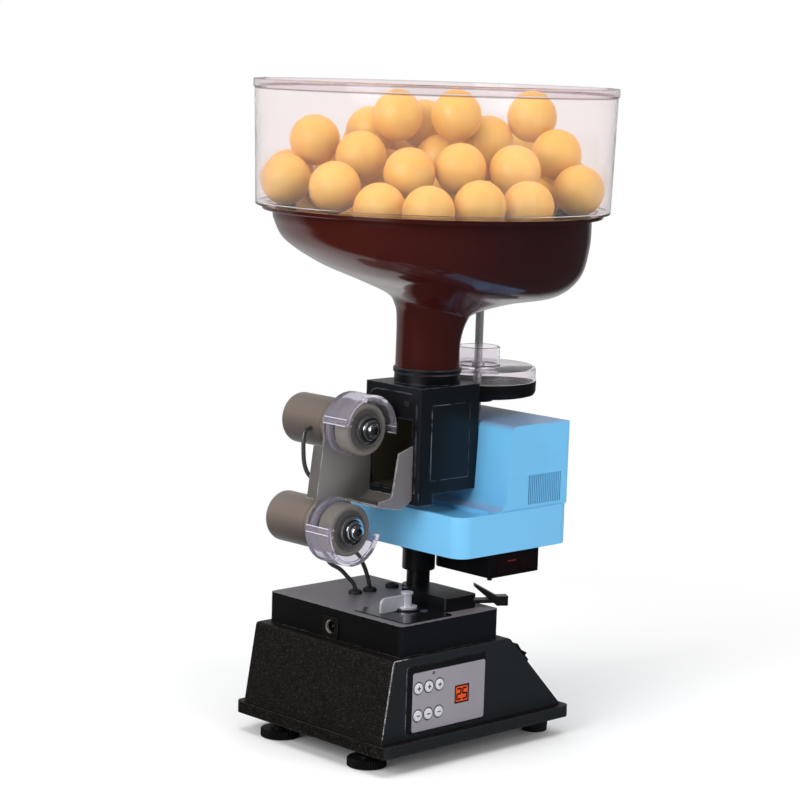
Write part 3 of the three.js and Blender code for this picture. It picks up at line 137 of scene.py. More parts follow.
def show_mirrored(tree):
    """Mask of the glossy rays that haven't passed through clear plastic."""
    path = node(tree, "ShaderNodeLightPath").outputs
    direct = combined(tree, "LESS_THAN", path["Transmission Depth"], 0.5)
    return combined(tree, "MULTIPLY", path["Is Glossy Ray"], direct)


world = bpy.data.worlds.new("studio")
bpy.context.scene.world = world
world.use_nodes = True
world_tree = world.node_tree
toward_camera = (math.sin(azimuth), -math.cos(azimuth), 0)
to_the_left = (-math.cos(azimuth), -math.sin(azimuth), 0)


def show_pale_side(tree, direction):
    """Mask of the pale side of the room: behind the robot, and round to its left as the camera sees it."""
    level = {0: direction, 1: (1, 1, 0)}
    for operation in ("MULTIPLY", "NORMALIZE"):
        level = {0: node(tree, "ShaderNodeVectorMath", level, operation=operation).outputs[0]}
    front, left = toward(tree, level[0], toward_camera), toward(tree, level[0], to_the_left)
    thin = ranged(tree, front, -0.99, -0.84, 0.7, 0.0, "SMOOTHSTEP")
    wide = ranged(tree, front, -0.4, -0.12, 0.6, 0.0, "SMOOTHSTEP")
    wide = combined(tree, "MULTIPLY", wide, ranged(tree, left, -0.05, 0.2))
    return combined(tree, "MAXIMUM", thin, wide)


way = node(world_tree, "ShaderNodeTexCoord").outputs["Generated"]
pale_side = show_pale_side(world_tree, way)
room = ranged(world_tree, toward(world_tree, way, toward_camera), -0.2, 0.35, 0.9, 0.1, "SMOOTHSTEP")
mirrored_room = ranged(world_tree, pale_side, 0.0, 1.0, 0.08, 0.75)
room = ranged(world_tree, show_mirrored(world_tree), 0.0, 1.0, room, mirrored_room)
world_light = ranged(world_tree, show_white(world_tree), 0.0, 1.0, room, 1.0)
backdrop = world_tree.nodes["Background"]
backdrop.inputs["Color"].default_value = (1, 1, 1, 1)
world_tree.links.new(world_light, backdrop.inputs["Strength"])

floor_reach = 12
floor_lit, floor_white = 0.2, 0.75
floor_mesh = bpy.data.meshes.new("floor")
floor_corners = floor_reach * np.array(((-1, -1, 0), (1, -1, 0), (1, 1, 0), (-1, 1, 0)))
floor_mesh.from_pydata(floor_corners.tolist(), [], [(0, 1, 2, 3)])
floor = bpy.data.objects.new("floor", floor_mesh)
bpy.context.scene.collection.objects.link(floor)
floor_material, tree, shader = plain_material("pale_floor", Base_Color=tint(244, 244, 244), Roughness=0.9,
                                              Specular_IOR_Level=0.1)
place = object_place(tree)
reach = node(tree, "ShaderNodeVectorMath", {0: place}, operation="LENGTH").outputs["Value"]
fade = ranged(tree, reach, floor_lit, floor_white, ease="SMOOTHSTEP")
fade = combined(tree, "MULTIPLY", fade, show_white(tree))
white = node(tree, "ShaderNodeEmission", {"Color": (1, 1, 1, 1), "Strength": 1.0})
mixed = node(tree, "ShaderNodeMixShader", {0: fade, 1: shader.outputs[0], 2: white.outputs[0]})
dark = combined(tree, "SUBTRACT", 1.0, show_pale_side(tree, place))
dark = combined(tree, "MULTIPLY", dark, show_mirrored(tree))
dim = node(tree, "ShaderNodeEmission", {"Color": (1, 1, 1, 1), "Strength": 0.04})
mixed = node(tree, "ShaderNodeMixShader", {0: dark, 1: mixed.outputs[0], 2: dim.outputs[0]})
tree.links.new(mixed.outputs[0], tree.nodes["Material Output"].inputs["Surface"])
floor_mesh.materials.append(floor_material)

lamp_height = 0.3
lamps = {
    # name: distance, azimuth and height of the lamp, its width and height, and its power
    "key_lamp": (1.6, 5, 0.95, 0.9, 1.2, 25),
    "side_lamp": (1.5, 100, 0.75, 0.7, 1.2, 10),
    "top_lamp": (0.35, 40, 1.9, 1.4, 1.0, 17),
}
for name, (distance, turn, height, wide, tall, power) in lamps.items():
    light = bpy.data.lights.new(name, "AREA")
    light.shape = "RECTANGLE"
    light.size, light.size_y, light.energy = wide, tall, power
    lamp = bpy.data.objects.new(name, light)
    turn = math.radians(turn)
    lamp.location = (distance * math.sin(turn), -distance * math.cos(turn), height)
    aim = Vector((0, 0, lamp_height)) - lamp.location
    lamp.rotation_euler = aim.to_track_quat("-Z", "Y").to_euler()
    lamp.visible_glossy = name == "key_lamp"
    bpy.context.scene.collection.objects.link(lamp)


# Motor leads: black round cable, one from each wheel motor down to a grommet on the base. The routes are
# those of the solids, led a little further down to the grommets.
def group_tree(name, inputs, outputs):
    tree = bpy.data.node_groups.new(name, "ShaderNodeTree")
    for words, way in ((inputs, "INPUT"), (outputs, "OUTPUT")):
        for word, kind in words.items():
            tree.interface.new_socket(word, in_out=way, socket_type="NodeSocket" + kind)
    return tree, tree.nodes.new("NodeGroupInput").outputs, tree.nodes.new("NodeGroupOutput")


def noise(tree, place, scale, detail=2.0):
    """Cloudy noise of a scale in waves per metre."""
    return node(tree, "ShaderNodeTexNoise", {"Vector": place, "Scale": scale, "Detail": detail}).outputs[0]


def mixed_colour(tree, share, low, high):
    """A colour between two, each given as a colour or a socket."""
    return node(tree, "ShaderNodeMix", {"Factor": share, 6: low, 7: high}, data_type="RGBA").outputs[2]


def bumped(tree, shader, height, strength, depth):
    """A shader's normal tilted by a height."""
    bump = node(tree, "ShaderNodeBump", {"Height": height, "Strength": strength, "Distance": depth})
    tree.links.new(bump.outputs[0], shader.inputs["Normal"])


# Moulded grain: a fine grain for the bump and the gloss, and broad patches that shift the colour.
grain, given, result = group_tree(
    "moulded grain",
    {"Colour": "Color", "Patches": "Float", "Grain Scale": "Float", "Roughness": "Float",
     "Gloss Spread": "Float"},
    {"Colour": "Color", "Roughness": "Float", "Height": "Float"},
)
patch_size = 18
spot = object_place(grain)
fine = noise(grain, spot, given["Grain Scale"], 4.0)
broad = noise(grain, spot, patch_size, 3.0)
low, high = (combined(grain, way, 1.0, given["Patches"]) for way in ("SUBTRACT", "ADD"))
shade = ranged(grain, broad, 0.3, 0.7, low, high)
shaded = node(grain, "ShaderNodeHueSaturation", {"Color": given["Colour"], "Value": shade})
low, high = (combined(grain, way, given["Roughness"], given["Gloss Spread"]) for way in ("SUBTRACT", "ADD"))
grain.links.new(shaded.outputs[0], result.inputs["Colour"])
grain.links.new(ranged(grain, fine, 0.3, 0.7, low, high), result.inputs["Roughness"])
grain.links.new(fine, result.inputs["Height"])


gloss_spread, grain_depth = 0.05, 0.05 * mm


def moulded(name, colour, roughness, patches=0.08, scale=1800, bump=0.08, **sockets):
    """Material whose colour and gloss come from the grain group, with the grain as its bump."""
    material, tree, shader = plain_material(name, **sockets)
    fed = {"Colour": colour, "Patches": patches, "Grain Scale": scale, "Roughness": roughness,
           "Gloss Spread": gloss_spread}
    made = node(tree, "ShaderNodeGroup", node_tree=grain)
    for word, value in fed.items():
        made.inputs[word].default_value = value
    tree.links.new(made.outputs["Colour"], shader.inputs["Base Color"])
    tree.links.new(made.outputs["Roughness"], shader.inputs["Roughness"])
    bumped(tree, shader, made.outputs["Height"], bump, grain_depth)
    return material


def grid_faces(rows, columns, wrap_rows=False, wrap_columns=False):
    """Quads of a grid of points numbered row by row, joined round where it wraps."""
    row = np.arange(rows if wrap_rows else rows - 1)
    column = np.arange(columns if wrap_columns else columns - 1)
    i, j = [part.ravel() for part in np.meshgrid(row, column, indexing="ij")]
    here, onward, across = i * columns, (i + 1) % rows * columns, (j + 1) % columns
    return np.stack((here + j, onward + j, onward + across, here + across), 1)


def closed_faces(rings, count):
    """Quads round a stack of rings of as many points each, and a face over each end."""
    ends = [list(range(count)), list(range((rings - 1) * count, rings * count))]
    return grid_faces(rings, count, wrap_columns=True).tolist() + ends


def build(name, parts, material, body, *nodes, sharp=38):
    """One piece from (points, faces) parts: doubles merged, faces turned outwards, edges sharper than
    an angle kept sharp. It rides on its body and stands for its nodes."""
    points, faces, start = [], [], 0
    for part_points, part_faces in parts:
        part_points = np.asarray(part_points, float)
        points.append(part_points)
        faces += [[start + int(corner) for corner in face] for face in part_faces]
        start += len(part_points)
    mesh = bpy.data.meshes.new(name)
    mesh.from_pydata(np.concatenate(points).tolist(), [], faces)
    shape = bmesh.new()
    shape.from_mesh(mesh)
    bmesh.ops.remove_doubles(shape, verts=shape.verts, dist=2e-6)
    bmesh.ops.recalc_face_normals(shape, faces=shape.faces)
    shape.to_mesh(mesh)
    shape.free()
    mesh.polygons.foreach_set("use_smooth", np.ones(len(mesh.polygons), bool))
    mesh.set_sharp_from_angle(angle=math.radians(sharp))
    mesh.materials.append(material)
    piece = bpy.data.objects.new(name, mesh)
    bpy.context.scene.collection.objects.link(piece)
    if body:
        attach(piece, body)
    if nodes:
        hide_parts(*nodes)
    return piece


def curve_through(points, before, after, steps):
    """Catmull-Rom curve: each stretch is a cubic whose end slopes are half the step across its ends.
    The points before and after are where the curve would go on to."""
    ends = np.vstack((before, points, after))
    place = np.linspace(0, len(points) - 1, steps)
    index = np.minimum(place.astype(int), len(points) - 2)
    t = (place - index)[:, None]
    a, b, c, d = (ends[index + k] for k in range(4))
    return b + (c - a) * t / 2 + (a - 2.5 * b + 2 * c - d / 2) * t**2 + (1.5 * (b - c) + (d - a) / 2) * t**3


def tube(route, radius, sides=14):
    """Circles of a radius square to a route, each set round by a fixed direction across the route."""
    along = np.gradient(route, axis=0)
    along /= np.linalg.norm(along, axis=1)[:, None]
    side = np.cross(along, (1.0, 0.2, 0.1))
    side /= np.linalg.norm(side, axis=1)[:, None]
    up = np.cross(along, side)
    turn = np.linspace(0, 2 * np.pi, sides, endpoint=False)[None, :, None]
    rings = route[:, None] + radius * (np.cos(turn) * side[:, None] + np.sin(turn) * up[:, None])
    return rings.reshape(-1, 3), closed_faces(len(route), sides)


head_shift = 14.5  # the solids' frame lies below the hopper, this far behind the base's middle
lead_radius = 1.75 * mm
lead_steps = 90
lead_cable = moulded("lead_cable", tint(58, 55, 57), 0.28, patches=0.15, scale=900, bump=0.1,
                     Specular_IOR_Level=0.9)
lead_routes = {
    "lead_lower": [
        (-33, -62.6, 153.9), (-32.4, -61.2, 148.2), (-30.6, -56.4, 141), (-30, -46.3, 135),
        (-30, -37.8, 127.5), (-30, -31.4, 121.5), (-30, -29, 116.4),
    ],
    "lead_upper": [
        (-39.5, -73.4, 250.5), (-39, -79.6, 248.6), (-38, -82, 240), (-37.5, -80.6, 222),
        (-37, -73.5, 211), (-34, -59.5, 203), (-31.5, -46, 195), (-31, -43.5, 180), (-31, -42.6, 162),
        (-30, -37, 152), (-30, -27.9, 144.5), (-30, -21.5, 136.5), (-30, -16.2, 126), (-30, -13.1, 116.4),
    ],
}
for name, places in lead_routes.items():
    places = (np.array(places) - (0, head_shift, 0)) * mm
    route = curve_through(places, 2 * places[0] - places[1], 2 * places[-1] - places[-2], lead_steps)
    lead = build(name + "_cable", [tube(route, lead_radius)], lead_cable, None, name)
    tuple(route[-1])
    tuple(route[0])
    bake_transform(lead)
    tuple(route[0])


# Base pan and case: pressed steel under dark hammered enamel, with pale specks painted in as glints on its
# dimples and a painted navy sheen on the faces that look along +X. Its edges carry wear and painted glints,
# most at the near corner. Four feet: two black knurled discs on screws in front, two rubber ones behind.
def turn(profile, steps=64, axis="z", place=(0, 0, 0)):
    """Surface of revolution: each (radius, height) point of a closed profile, in mm, makes a circle
    about the axis; points on the axis close to one."""
    profile = np.asarray(profile, float)
    angle = np.linspace(0, 2 * np.pi, steps, endpoint=False)
    radius, height = profile[:, :1], np.repeat(profile[:, 1:], steps, 1)
    flat = (radius * np.cos(angle), radius * np.sin(angle))
    order = {"x": (height, *flat), "y": (flat[1], height, flat[0]), "z": (*flat, height)}[axis]
    points = np.stack(order, -1).reshape(-1, 3) + np.asarray(place, float)
    return points * mm, grid_faces(len(profile), steps, wrap_rows=True, wrap_columns=True)


def block(low, high, corner, edge, axis="z", steps=4):
    """Box with rounded corners in its plan and rounded rims: rings of the plan, each inset as the rim's
    quarter circle asks at its height, stacked along the axis. Sizes in mm."""
    low, high = np.asarray(low, float), np.asarray(high, float)
    up = "xyz".index(axis)
    a, b = [k for k in range(3) if k != up]
    corner = max(corner, edge + 0.01)
    turn_angle = np.linspace(0, np.pi / 2, steps + 1)
    angle = np.concatenate([turn_angle + quarter * np.pi / 2 for quarter in range(4)])
    quarter = np.repeat(np.arange(4), steps + 1)
    side_a = np.array((1, -1, -1, 1))[quarter]
    side_b = np.array((1, 1, -1, -1))[quarter]
    core_a = np.where(side_a > 0, high[a] - corner, low[a] + corner)
    core_b = np.where(side_b > 0, high[b] - corner, low[b] + corner)
    bend = np.linspace(0, np.pi / 2, steps + 1)
    inset = edge * (1 - np.sin(bend))
    lift = edge * (1 - np.cos(bend))
    insets = np.concatenate((inset, inset[::-1]))
    heights = np.concatenate((low[up] + lift, high[up] - lift[::-1]))
    rings = np.empty((len(insets), len(angle), 3))
    rings[..., a] = core_a + (corner - insets[:, None]) * np.cos(angle)
    rings[..., b] = core_b + (corner - insets[:, None]) * np.sin(angle)
    rings[..., up] = heights[:, None]
    return rings.reshape(-1, 3) * mm, closed_faces(len(insets), len(angle))


def dress(names, material, edge=0.3):
    """Solids shown as they are: flat parts joined, edges rounded by a few tenths of a millimetre."""
    for name in names.split():
        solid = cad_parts[name]
        solid.data.materials.clear()
        solid.data.materials.append(material)
        solid.data.polygons.foreach_set("use_smooth", np.ones(len(solid.data.polygons), bool))
        weld = solid.modifiers.new("weld", "WELD")
        weld.merge_threshold = 5e-6
        flat = solid.modifiers.new("flat", "DECIMATE")
        flat.decimate_type = "DISSOLVE"
        flat.angle_limit = math.radians(0.5)
        bevel = solid.modifiers.new("rim", "BEVEL")
        bevel.width = edge * mm
        bevel.segments = 2
        bevel.limit_method = "ANGLE"
        bevel.angle_limit = math.radians(32)
        solid.modifiers.new("shading", "WEIGHTED_NORMAL").keep_sharp = True


# Edge wear and painted edge highlights: a mask where the rounded normal departs from the face's own, broken
# up by a fine noise. On most pieces it paints highlights along the edges, on some it is partly real wear.
wear_and_highlight, given, result = group_tree("edge wear", {"Amount": "Float", "Scale": "Float", "Reach": "Float"},
                                 {"Mask": "Float"})
softened = node(wear_and_highlight, "ShaderNodeBevel", {"Radius": given["Reach"]}, samples=6).outputs[0]
flat_way = node(wear_and_highlight, "ShaderNodeNewGeometry").outputs["Normal"]
bent = ranged(wear_and_highlight, toward(wear_and_highlight, softened, flat_way), 0.99, 0.88)
broken = ranged(wear_and_highlight, noise(wear_and_highlight, object_place(wear_and_highlight), given["Scale"], 6.0), 0.4, 0.62)
mask = combined(wear_and_highlight, "MULTIPLY", combined(wear_and_highlight, "MULTIPLY", bent, broken), given["Amount"])
wear_and_highlight.links.new(mask, result.inputs["Mask"])


def overlay(material, mask, colour):
    """Another colour over a material's own, where a mask shows it."""
    tree = material.node_tree
    shown = tree.nodes["Principled BSDF"].inputs["Base Color"]
    tree.links.new(mixed_colour(tree, mask, shown.links[0].from_socket, colour), shown)


def add_wear_and_highlight(material, colour, amount, scale=500, reach=0.7):
    """Edge wear and painted edge highlights laid over a material's own colour."""
    mask = node(material.node_tree, "ShaderNodeGroup", node_tree=wear_and_highlight, name="worn edge")
    for word, value in (("Amount", amount), ("Scale", scale), ("Reach", reach * mm)):
        mask.inputs[word].default_value = value
    overlay(material, mask.outputs[0], colour)


def paint_shading_by_facing(material, colour, axis, low=0.5, high=0.8):
    """Painted light or shade: another colour on the faces that look along an axis, over a material's own
    colour.
    """
    tree = material.node_tree
    way = node(tree, "ShaderNodeSeparateXYZ", {0: node(tree, "ShaderNodeTexCoord").outputs["Normal"]})
    overlay(material, ranged(tree, way.outputs[axis], low, high), colour)


def paint_shading_by_place(material, axis, low, high, colour):
    """Painted light or shade: another colour that comes in between two places along an axis, in mm."""
    tree = material.node_tree
    place = node(tree, "ShaderNodeSeparateXYZ", {0: object_place(tree)}).outputs[axis]
    overlay(material, ranged(tree, place, low * mm, high * mm), colour)


enamel, tree, shader = plain_material("hammered_enamel", Roughness=0.45, Specular_IOR_Level=0.12)
spot = object_place(tree)
dimple = node(tree, "ShaderNodeTexVoronoi", {"Vector": spot, "Scale": 420.0, "Smoothness": 0.6},
              feature="SMOOTH_F1").outputs["Distance"]
# Pale specks painted in as glints on the hammered dimples.
glint_speck = ranged(tree, noise(tree, spot, 1100.0, 3.0), 0.53, 0.7)
tree.links.new(mixed_colour(tree, glint_speck, tint(13, 11, 9), tint(54, 51, 48)), shader.inputs["Base Color"])
bumped(tree, shader, dimple, 0.35, 0.4 * mm)
# Painted navy sheen on the faces that look along +X.
paint_shading_by_facing(enamel, tint(31, 35, 39), "X")
# Edge wear and painted glints: a little along all edges, and far more at the base's near corner.
edge_wear_and_glint, corner_wear_and_glint = 0.05, 1.8
add_wear_and_highlight(enamel, tint(214, 212, 212), edge_wear_and_glint, 1000, 1.6)
spot = node(tree, "ShaderNodeSeparateXYZ", {0: spot}).outputs
corner = combined(tree, "MULTIPLY", ranged(tree, spot["X"], 60 * mm, 72 * mm),
                  ranged(tree, spot["Y"], -92 * mm, -88 * mm, corner_wear_and_glint, 0.0))
corner = combined(tree, "MULTIPLY", corner, ranged(tree, spot["Z"], 28 * mm, 34 * mm))
corner = combined(tree, "MAXIMUM", corner, edge_wear_and_glint)
tree.links.new(corner, tree.nodes["worn edge"].inputs["Amount"])
dress("base_pan", enamel, 0.6)
dress("base_case", enamel, 1.2)

black_plastic = moulded("black_plastic", tint(13, 13, 15), 0.4, Specular_IOR_Level=0.3)
rubber = moulded("black_rubber", tint(26, 26, 27), 0.7)
disc_radius, disc_height, knurls, stud_radius = 15.5, 7, 44, 4
knurl_depth = 0.35  # the rim's radius waves in and out by a cosine, once for each knurl
angle = np.linspace(0, 2 * np.pi, knurls * 6, endpoint=False)
rib = disc_radius - knurl_depth + knurl_depth * np.cos(angle * knurls)
rings = [(0.9, 0), (1, 0.6), (1, disc_height - 0.8), (0.93, disc_height), (0.3, disc_height)]
disc = np.array([
    np.stack((share * rib * np.cos(angle), share * rib * np.sin(angle), np.full_like(angle, height)), -1)
    for share, height in rings
])
disc_faces = closed_faces(len(rings), len(angle))
foot_aside, foot_front, nut_radius, nut_top, stud_top = 51.1, -101.9, 7.5, 8.6, 21
screw = [(0, disc_height - 0.1), (nut_radius, disc_height - 0.1), (nut_radius, nut_top),
         (stud_radius, nut_top), (stud_radius, stud_top), (0, stud_top)]
for side, name in ((-1, "screw_foot_left"), (1, "screw_foot_right")):
    foot_place = np.array((side * foot_aside, foot_front, 0))
    parts = [((disc.reshape(-1, 3) + foot_place) * mm, disc_faces), turn(screw, 32, place=foot_place)]
    build(name + "_disc", parts, black_plastic, name, name)
dress("rubber_foot_left rubber_foot_right", rubber, 0.4)

# Control panel: a black frame screwed to the case's side round a pale grey sheet. Six round white
# buttons stand in dark rings in two rows, and a red display with dark figures is behind a window.
panel_black = moulded("panel_black", tint(17, 18, 22), 0.3)
# Painted highlights along the frame's edges.
add_wear_and_highlight(panel_black, tint(120, 120, 130), 0.6, 300)
dress("panel_frame", panel_black, 0.15)
panel_grey = moulded("panel_grey", tint(142, 138, 146), 0.45, patches=0.06)
dress("panel_sheet", panel_grey, 0.1)
button_white = moulded("button_white", tint(200, 198, 206), 0.4, patches=0.03)
ring_dark = moulded("ring_dark", tint(66, 68, 82), 0.4)
sheet_face = 81.2
button_rows, button_columns = (63.5, 41.9), (-78.1, -66.95, -55.65)
button_places = [(column, row) for row in button_rows for column in button_columns]
cap = [(0, 75.7), (4.25, 75.7), (4.25, 81.7), (4.0, 82.05), (3.5, 82.2), (0, 82.2)]
skirt = [(0, 76.2), (5.1, 76.2), (5.1, 78), (0, 78)]
halo = [(4.5, sheet_face - 0.3), (5.3, sheet_face - 0.3), (5.3, sheet_face + 0.12),
        (4.5, sheet_face + 0.12)]
for number, (column, row) in enumerate(button_places, 1):
    name, place = f"button_{number}", (0, column, row)
    parts = [turn(cap, 48, "x", place), turn(skirt, 32, "x", place)]
    build(name + "_cap", parts, button_white, name, name)
    build(f"button_ring_{number}", [turn(halo, 48, "x", place)], ring_dark, "base")


def flat_bars(bars, front, back):
    """Upright bars on a face that looks along X: each is (middle y, middle z, width, height) in mm."""
    parts = []
    for y, z, wide, tall in bars:
        low, high = (back, y - wide / 2, z - tall / 2), (front, y + wide / 2, z + tall / 2)
        parts.append(block(low, high, 0.02, 0.01, "x", 1))
    return parts


mark_size, mark_line, button_face = 3.8, 1.0, 82.2
for number, (column, row) in enumerate(button_places, 1):
    bars = [(column, row, mark_size, mark_line)]
    if row == button_rows[0]:
        bars.append((column, row, mark_line, mark_size))
    parts = flat_bars(bars, button_face + 0.05, button_face - 0.2)
    build(f"button_mark_{number}", parts, ring_dark, f"button_{number}")
lamp_hole = (-62, 73.4, 2.4, 2.4)
build("panel_marks", flat_bars([lamp_hole], sheet_face + 0.05, sheet_face - 0.2), ring_dark, "base")

display_red, tree, shader = plain_material("display_red", Roughness=0.12, Emission_Strength=0.08)
glow = ranged(tree, noise(tree, object_place(tree), 400.0), 0.0, 1.0, 0.85, 1.1)
shade = node(tree, "ShaderNodeHueSaturation", {"Color": tint(208, 80, 40), "Value": glow})
tree.links.new(shade.outputs[0], shader.inputs["Base Color"])
tree.links.new(shade.outputs[0], shader.inputs["Emission Color"])
dress("display_window", display_red, 0.15)
display_dark = moulded("display_dark", tint(62, 12, 12), 0.2)
display_face = 81.0
left, right, low, high = -37.8, -22.5, 44.8, 59.0
rim, middle_z = 1.1, (low + high) / 2
bars = [((left + right) / 2, z, right - left, rim) for z in (low + rim / 2, high - rim / 2)]
bars += [(y, middle_z, rim, high - low) for y in (left + rim / 2, right - rim / 2)]
figure_wide, figure_tall, stroke = 4.2, 8.4, 1.3
strokes = {  # across and up in halves of the figure, and whether the stroke lies or stands
    "top": (0, 1, True), "middle": (0, 0, True), "foot": (0, -1, True), "upper left": (-1, 0.5, False),
    "upper right": (1, 0.5, False), "lower left": (-1, -0.5, False), "lower right": (1, -0.5, False),
}
two = ("top", "upper right", "middle", "lower left", "foot")
five = ("top", "upper left", "middle", "lower right", "foot")
for middle, figure in ((-33.3, two), (-27.0, five)):
    for word in figure:
        across, rise, lies = strokes[word]
        size = (figure_wide, stroke) if lies else (stroke, figure_tall / 2)
        bars.append((middle + across * figure_wide / 2, middle_z + rise * figure_tall / 2, *size))
build("display_figures", flat_bars(bars, display_face + 0.1, display_face - 0.2), display_dark, "base")

# Board and transformer inside the case: a green board behind the buttons, and a laminated core that is
# screwed to the pan.
board = moulded("board_green", tint(30, 92, 52), 0.4)
dress("control_board", board, 0.1)
steel = moulded("laminated_steel", tint(120, 120, 124), 0.35, scale=2500, Metallic=1.0)
dress("transformer", steel, 0.3)

# Rocker switch: a black frame pressed into the sloping back of the case, and a black rocker in it that
# tips to turn the robot on and off.
dress("rocker_frame rocker", black_plastic, 0.3)

# Control box: folded satin sheet, nearly black, with a painted lilac-grey sheen on its top, a painted navy
# sheen on its +X side and painted highlights along its edges. A thin glossy black plate lies on it, three
# rubber grommets stand in its top, and a power inlet with a bright sleeve sits in its front.
box_paint = moulded("box_paint", tint(8, 8, 9), 0.42, patches=0.12, scale=900, Specular_IOR_Level=0.2)
# Painted navy sheen on the +X faces, painted lilac-grey sheen on the top, painted highlights on the edges.
paint_shading_by_facing(box_paint, tint(16, 19, 25), "X")
paint_shading_by_facing(box_paint, tint(106, 100, 105), "Z", 0.6, 0.9)
add_wear_and_highlight(box_paint, tint(226, 224, 230), 0.3, 300, 0.6)
dress("control_box", box_paint, 0.5)
plate_black = moulded("plate_black", tint(16, 17, 20), 0.18, bump=0.02)
dress("top_plate", plate_black, 0.2)
inlet_black = moulded("inlet_black", tint(16, 13, 12), 0.4, Specular_IOR_Level=0.2)
add_wear_and_highlight(inlet_black, tint(86, 70, 60), 0.8, 400)
dress("power_inlet", inlet_black, 0.3)
cable_ring = [(2.2, 112.9), (5.6, 112.9), (5.6, 114.4), (4.6, 115.8), (3.4, 116.1), (2.6, 116.0),
              (2.2, 115.5)]
for number, y in enumerate((-43.5, -27.5, -2.5), 1):
    name = f"grommet_{number}"
    grommet = build(name + "_ring", [turn(cable_ring, 40, place=(-30, y, 0))], rubber, "base", name)
inlet_place = (-2.5, 0, 98)
sleeve = [(4.9, -94.7), (5.5, -94.7), (5.5, -92.4), (4.9, -92.4)]
pin = [(0, -88), (0.9, -88), (0.9, -92), (0.5, -92.6), (0, -92.6)]
inlet_metal = moulded("inlet_metal", tint(205, 200, 198), 0.3, Metallic=0.6)
# Painted shadow: the sleeve and pin darken towards +X, on their shadowed side.
paint_shading_by_place(inlet_metal, "X", -5, -1.5, tint(40, 36, 34))
parts = [turn(sleeve, 48, "y", inlet_place), turn(pin, 24, "y", inlet_place)]
build("inlet_sleeve", parts, inlet_metal, "base")

# Sweep lever: a bright cast blade on a round post over a black washer, which sets how far the head
# sweeps. A small dark ring lies beside it on the thin plate.
bright = moulded("bright_metal", tint(212, 212, 222), 0.4, patches=0.05, scale=3000, Metallic=0.55)
plate_ring = [(1.9, 113.7), (3.1, 113.7), (3.1, 114.2), (1.9, 114.2)]
plate_ring_place = (50.4, -44.2, 0)
build("plate_ring", [turn(plate_ring, 40, place=plate_ring_place)], ring_dark, "base")
dress("lever_washer", black_plastic, 0.2)
dress("sweep_lever", bright, 0.4)

# Pivot: a black cast block on the box carries the post that the head turns on. A clamp lever with its
# screw stands beside it, and the sweep motor hangs below.
cast_black = moulded("cast_black", tint(10, 11, 13), 0.32, patches=0.12, Specular_IOR_Level=0.3)
dress("pivot_block", cast_black, 0.5)
lever_black = moulded("lever_black", tint(18, 19, 21), 0.36, patches=0.12, Specular_IOR_Level=0.3)
# Painted light: the clamp lever is paler on the faces that look up.
paint_shading_by_facing(lever_black, tint(92, 92, 94), "Z", 0.2, 0.6)
dress("clamp_lever", lever_black, 0.4)
pivot = (0, -2.5, 0)
post = [(0, 94.8), (4, 94.8), (4, 102.8), (9.4, 102.8), (9.4, 154.7), (0, 154.7)]
pivot_post = build("pivot_post_bar", [turn(post, 64, place=pivot)], cast_black, "head", "pivot_post")
collar = [(9.7, 134), (12.9, 134), (13.3, 134.4), (13.3, 150.6), (14.8, 151.2), (14.8, 154.6), (14.4, 155),
          (9.7, 155)]
pivot_collar = build("pivot_collar_ring", [turn(collar, 64, place=pivot)], cast_black, "head", "pivot_collar")
motor_paint = moulded("motor_paint", tint(128, 116, 108), 0.34, patches=0.06, scale=2600, Metallic=0.35)
# Painted shade: the motor paint darkens on the faces that look down.
paint_shading_by_facing(motor_paint, tint(58, 50, 46), "Z", 0.35, -0.6)
dress("sweep_motor feed_motor stir_motor", motor_paint, 0.4)

# Receiver: a dark moulded box fixed under the tray. Its window is a very dark red, and the dim red strip
# of its sensor shows in it.
receiver_black = moulded("receiver_black", tint(11, 9, 12), 0.35, Specular_IOR_Level=0.2)
dress("receiver_box", receiver_black, 0.4)
window_red = moulded("window_red", tint(17, 9, 11), 0.2, bump=0.01, Specular_IOR_Level=0.2)
dress("receiver_window", window_red, 0.2)
sensor_red = moulded("sensor_red", tint(96, 20, 26), 0.3)
sensor_strip, window_face = (33.5, 148, 10, 1.2), 69.5
parts = flat_bars([sensor_strip], window_face + 0.05, window_face - 0.2)
build("receiver_sensor", parts, sensor_red, "head")

# Tray, its base plate and the housing: blue sheet metal with a satin coat. The housing's sides carry vents,
# and a painted lilac-grey sheen lies on its top.
blue = moulded("satin_blue", tint(110, 184, 228), 0.34, patches=0.04, scale=2200, bump=0.04)
dress("tray tray_base", blue, 0.5)
housing_blue = moulded("housing_blue", tint(107, 181, 226), 0.34, patches=0.04, scale=2200, bump=0.04)
# Painted sheen: the housing turns lilac grey on the faces that look up.
paint_shading_by_facing(housing_blue, tint(136, 170, 212), "Z", 0.5, 0.9)
dress("housing", housing_blue, 0.5)

# Ball feeder: a black moulded box with raised side panels, painted highlights along its edges and the inside
# of its outlet coloured dark olive, an exit plate in front and a collar round the hopper's neck. A motor
# behind pushes the balls out one by one.
slate = moulded("slate_black", tint(9, 10, 14), 0.36, patches=0.1, Specular_IOR_Level=0.28)
# Painted highlights along the edges of the exit plate and the collar.
add_wear_and_highlight(slate, tint(120, 124, 136), 1.6, 120)
feeder_slate = moulded("feeder_slate", tint(16, 19, 23), 0.36, patches=0.1, Specular_IOR_Level=0.28)
tree = feeder_slate.node_tree
spot = node(tree, "ShaderNodeSeparateXYZ", {0: object_place(tree)}).outputs
inside = 1.0
for axis, middle, reach in (("X", 0, 23.4), ("Y", -7.5, 27.5), ("Z", 231, 31)):
    within = combined(tree, "COMPARE", spot[axis], middle * mm, reach * mm)
    inside = combined(tree, "MULTIPLY", inside, within)
overlay(feeder_slate, inside, tint(78, 72, 58))
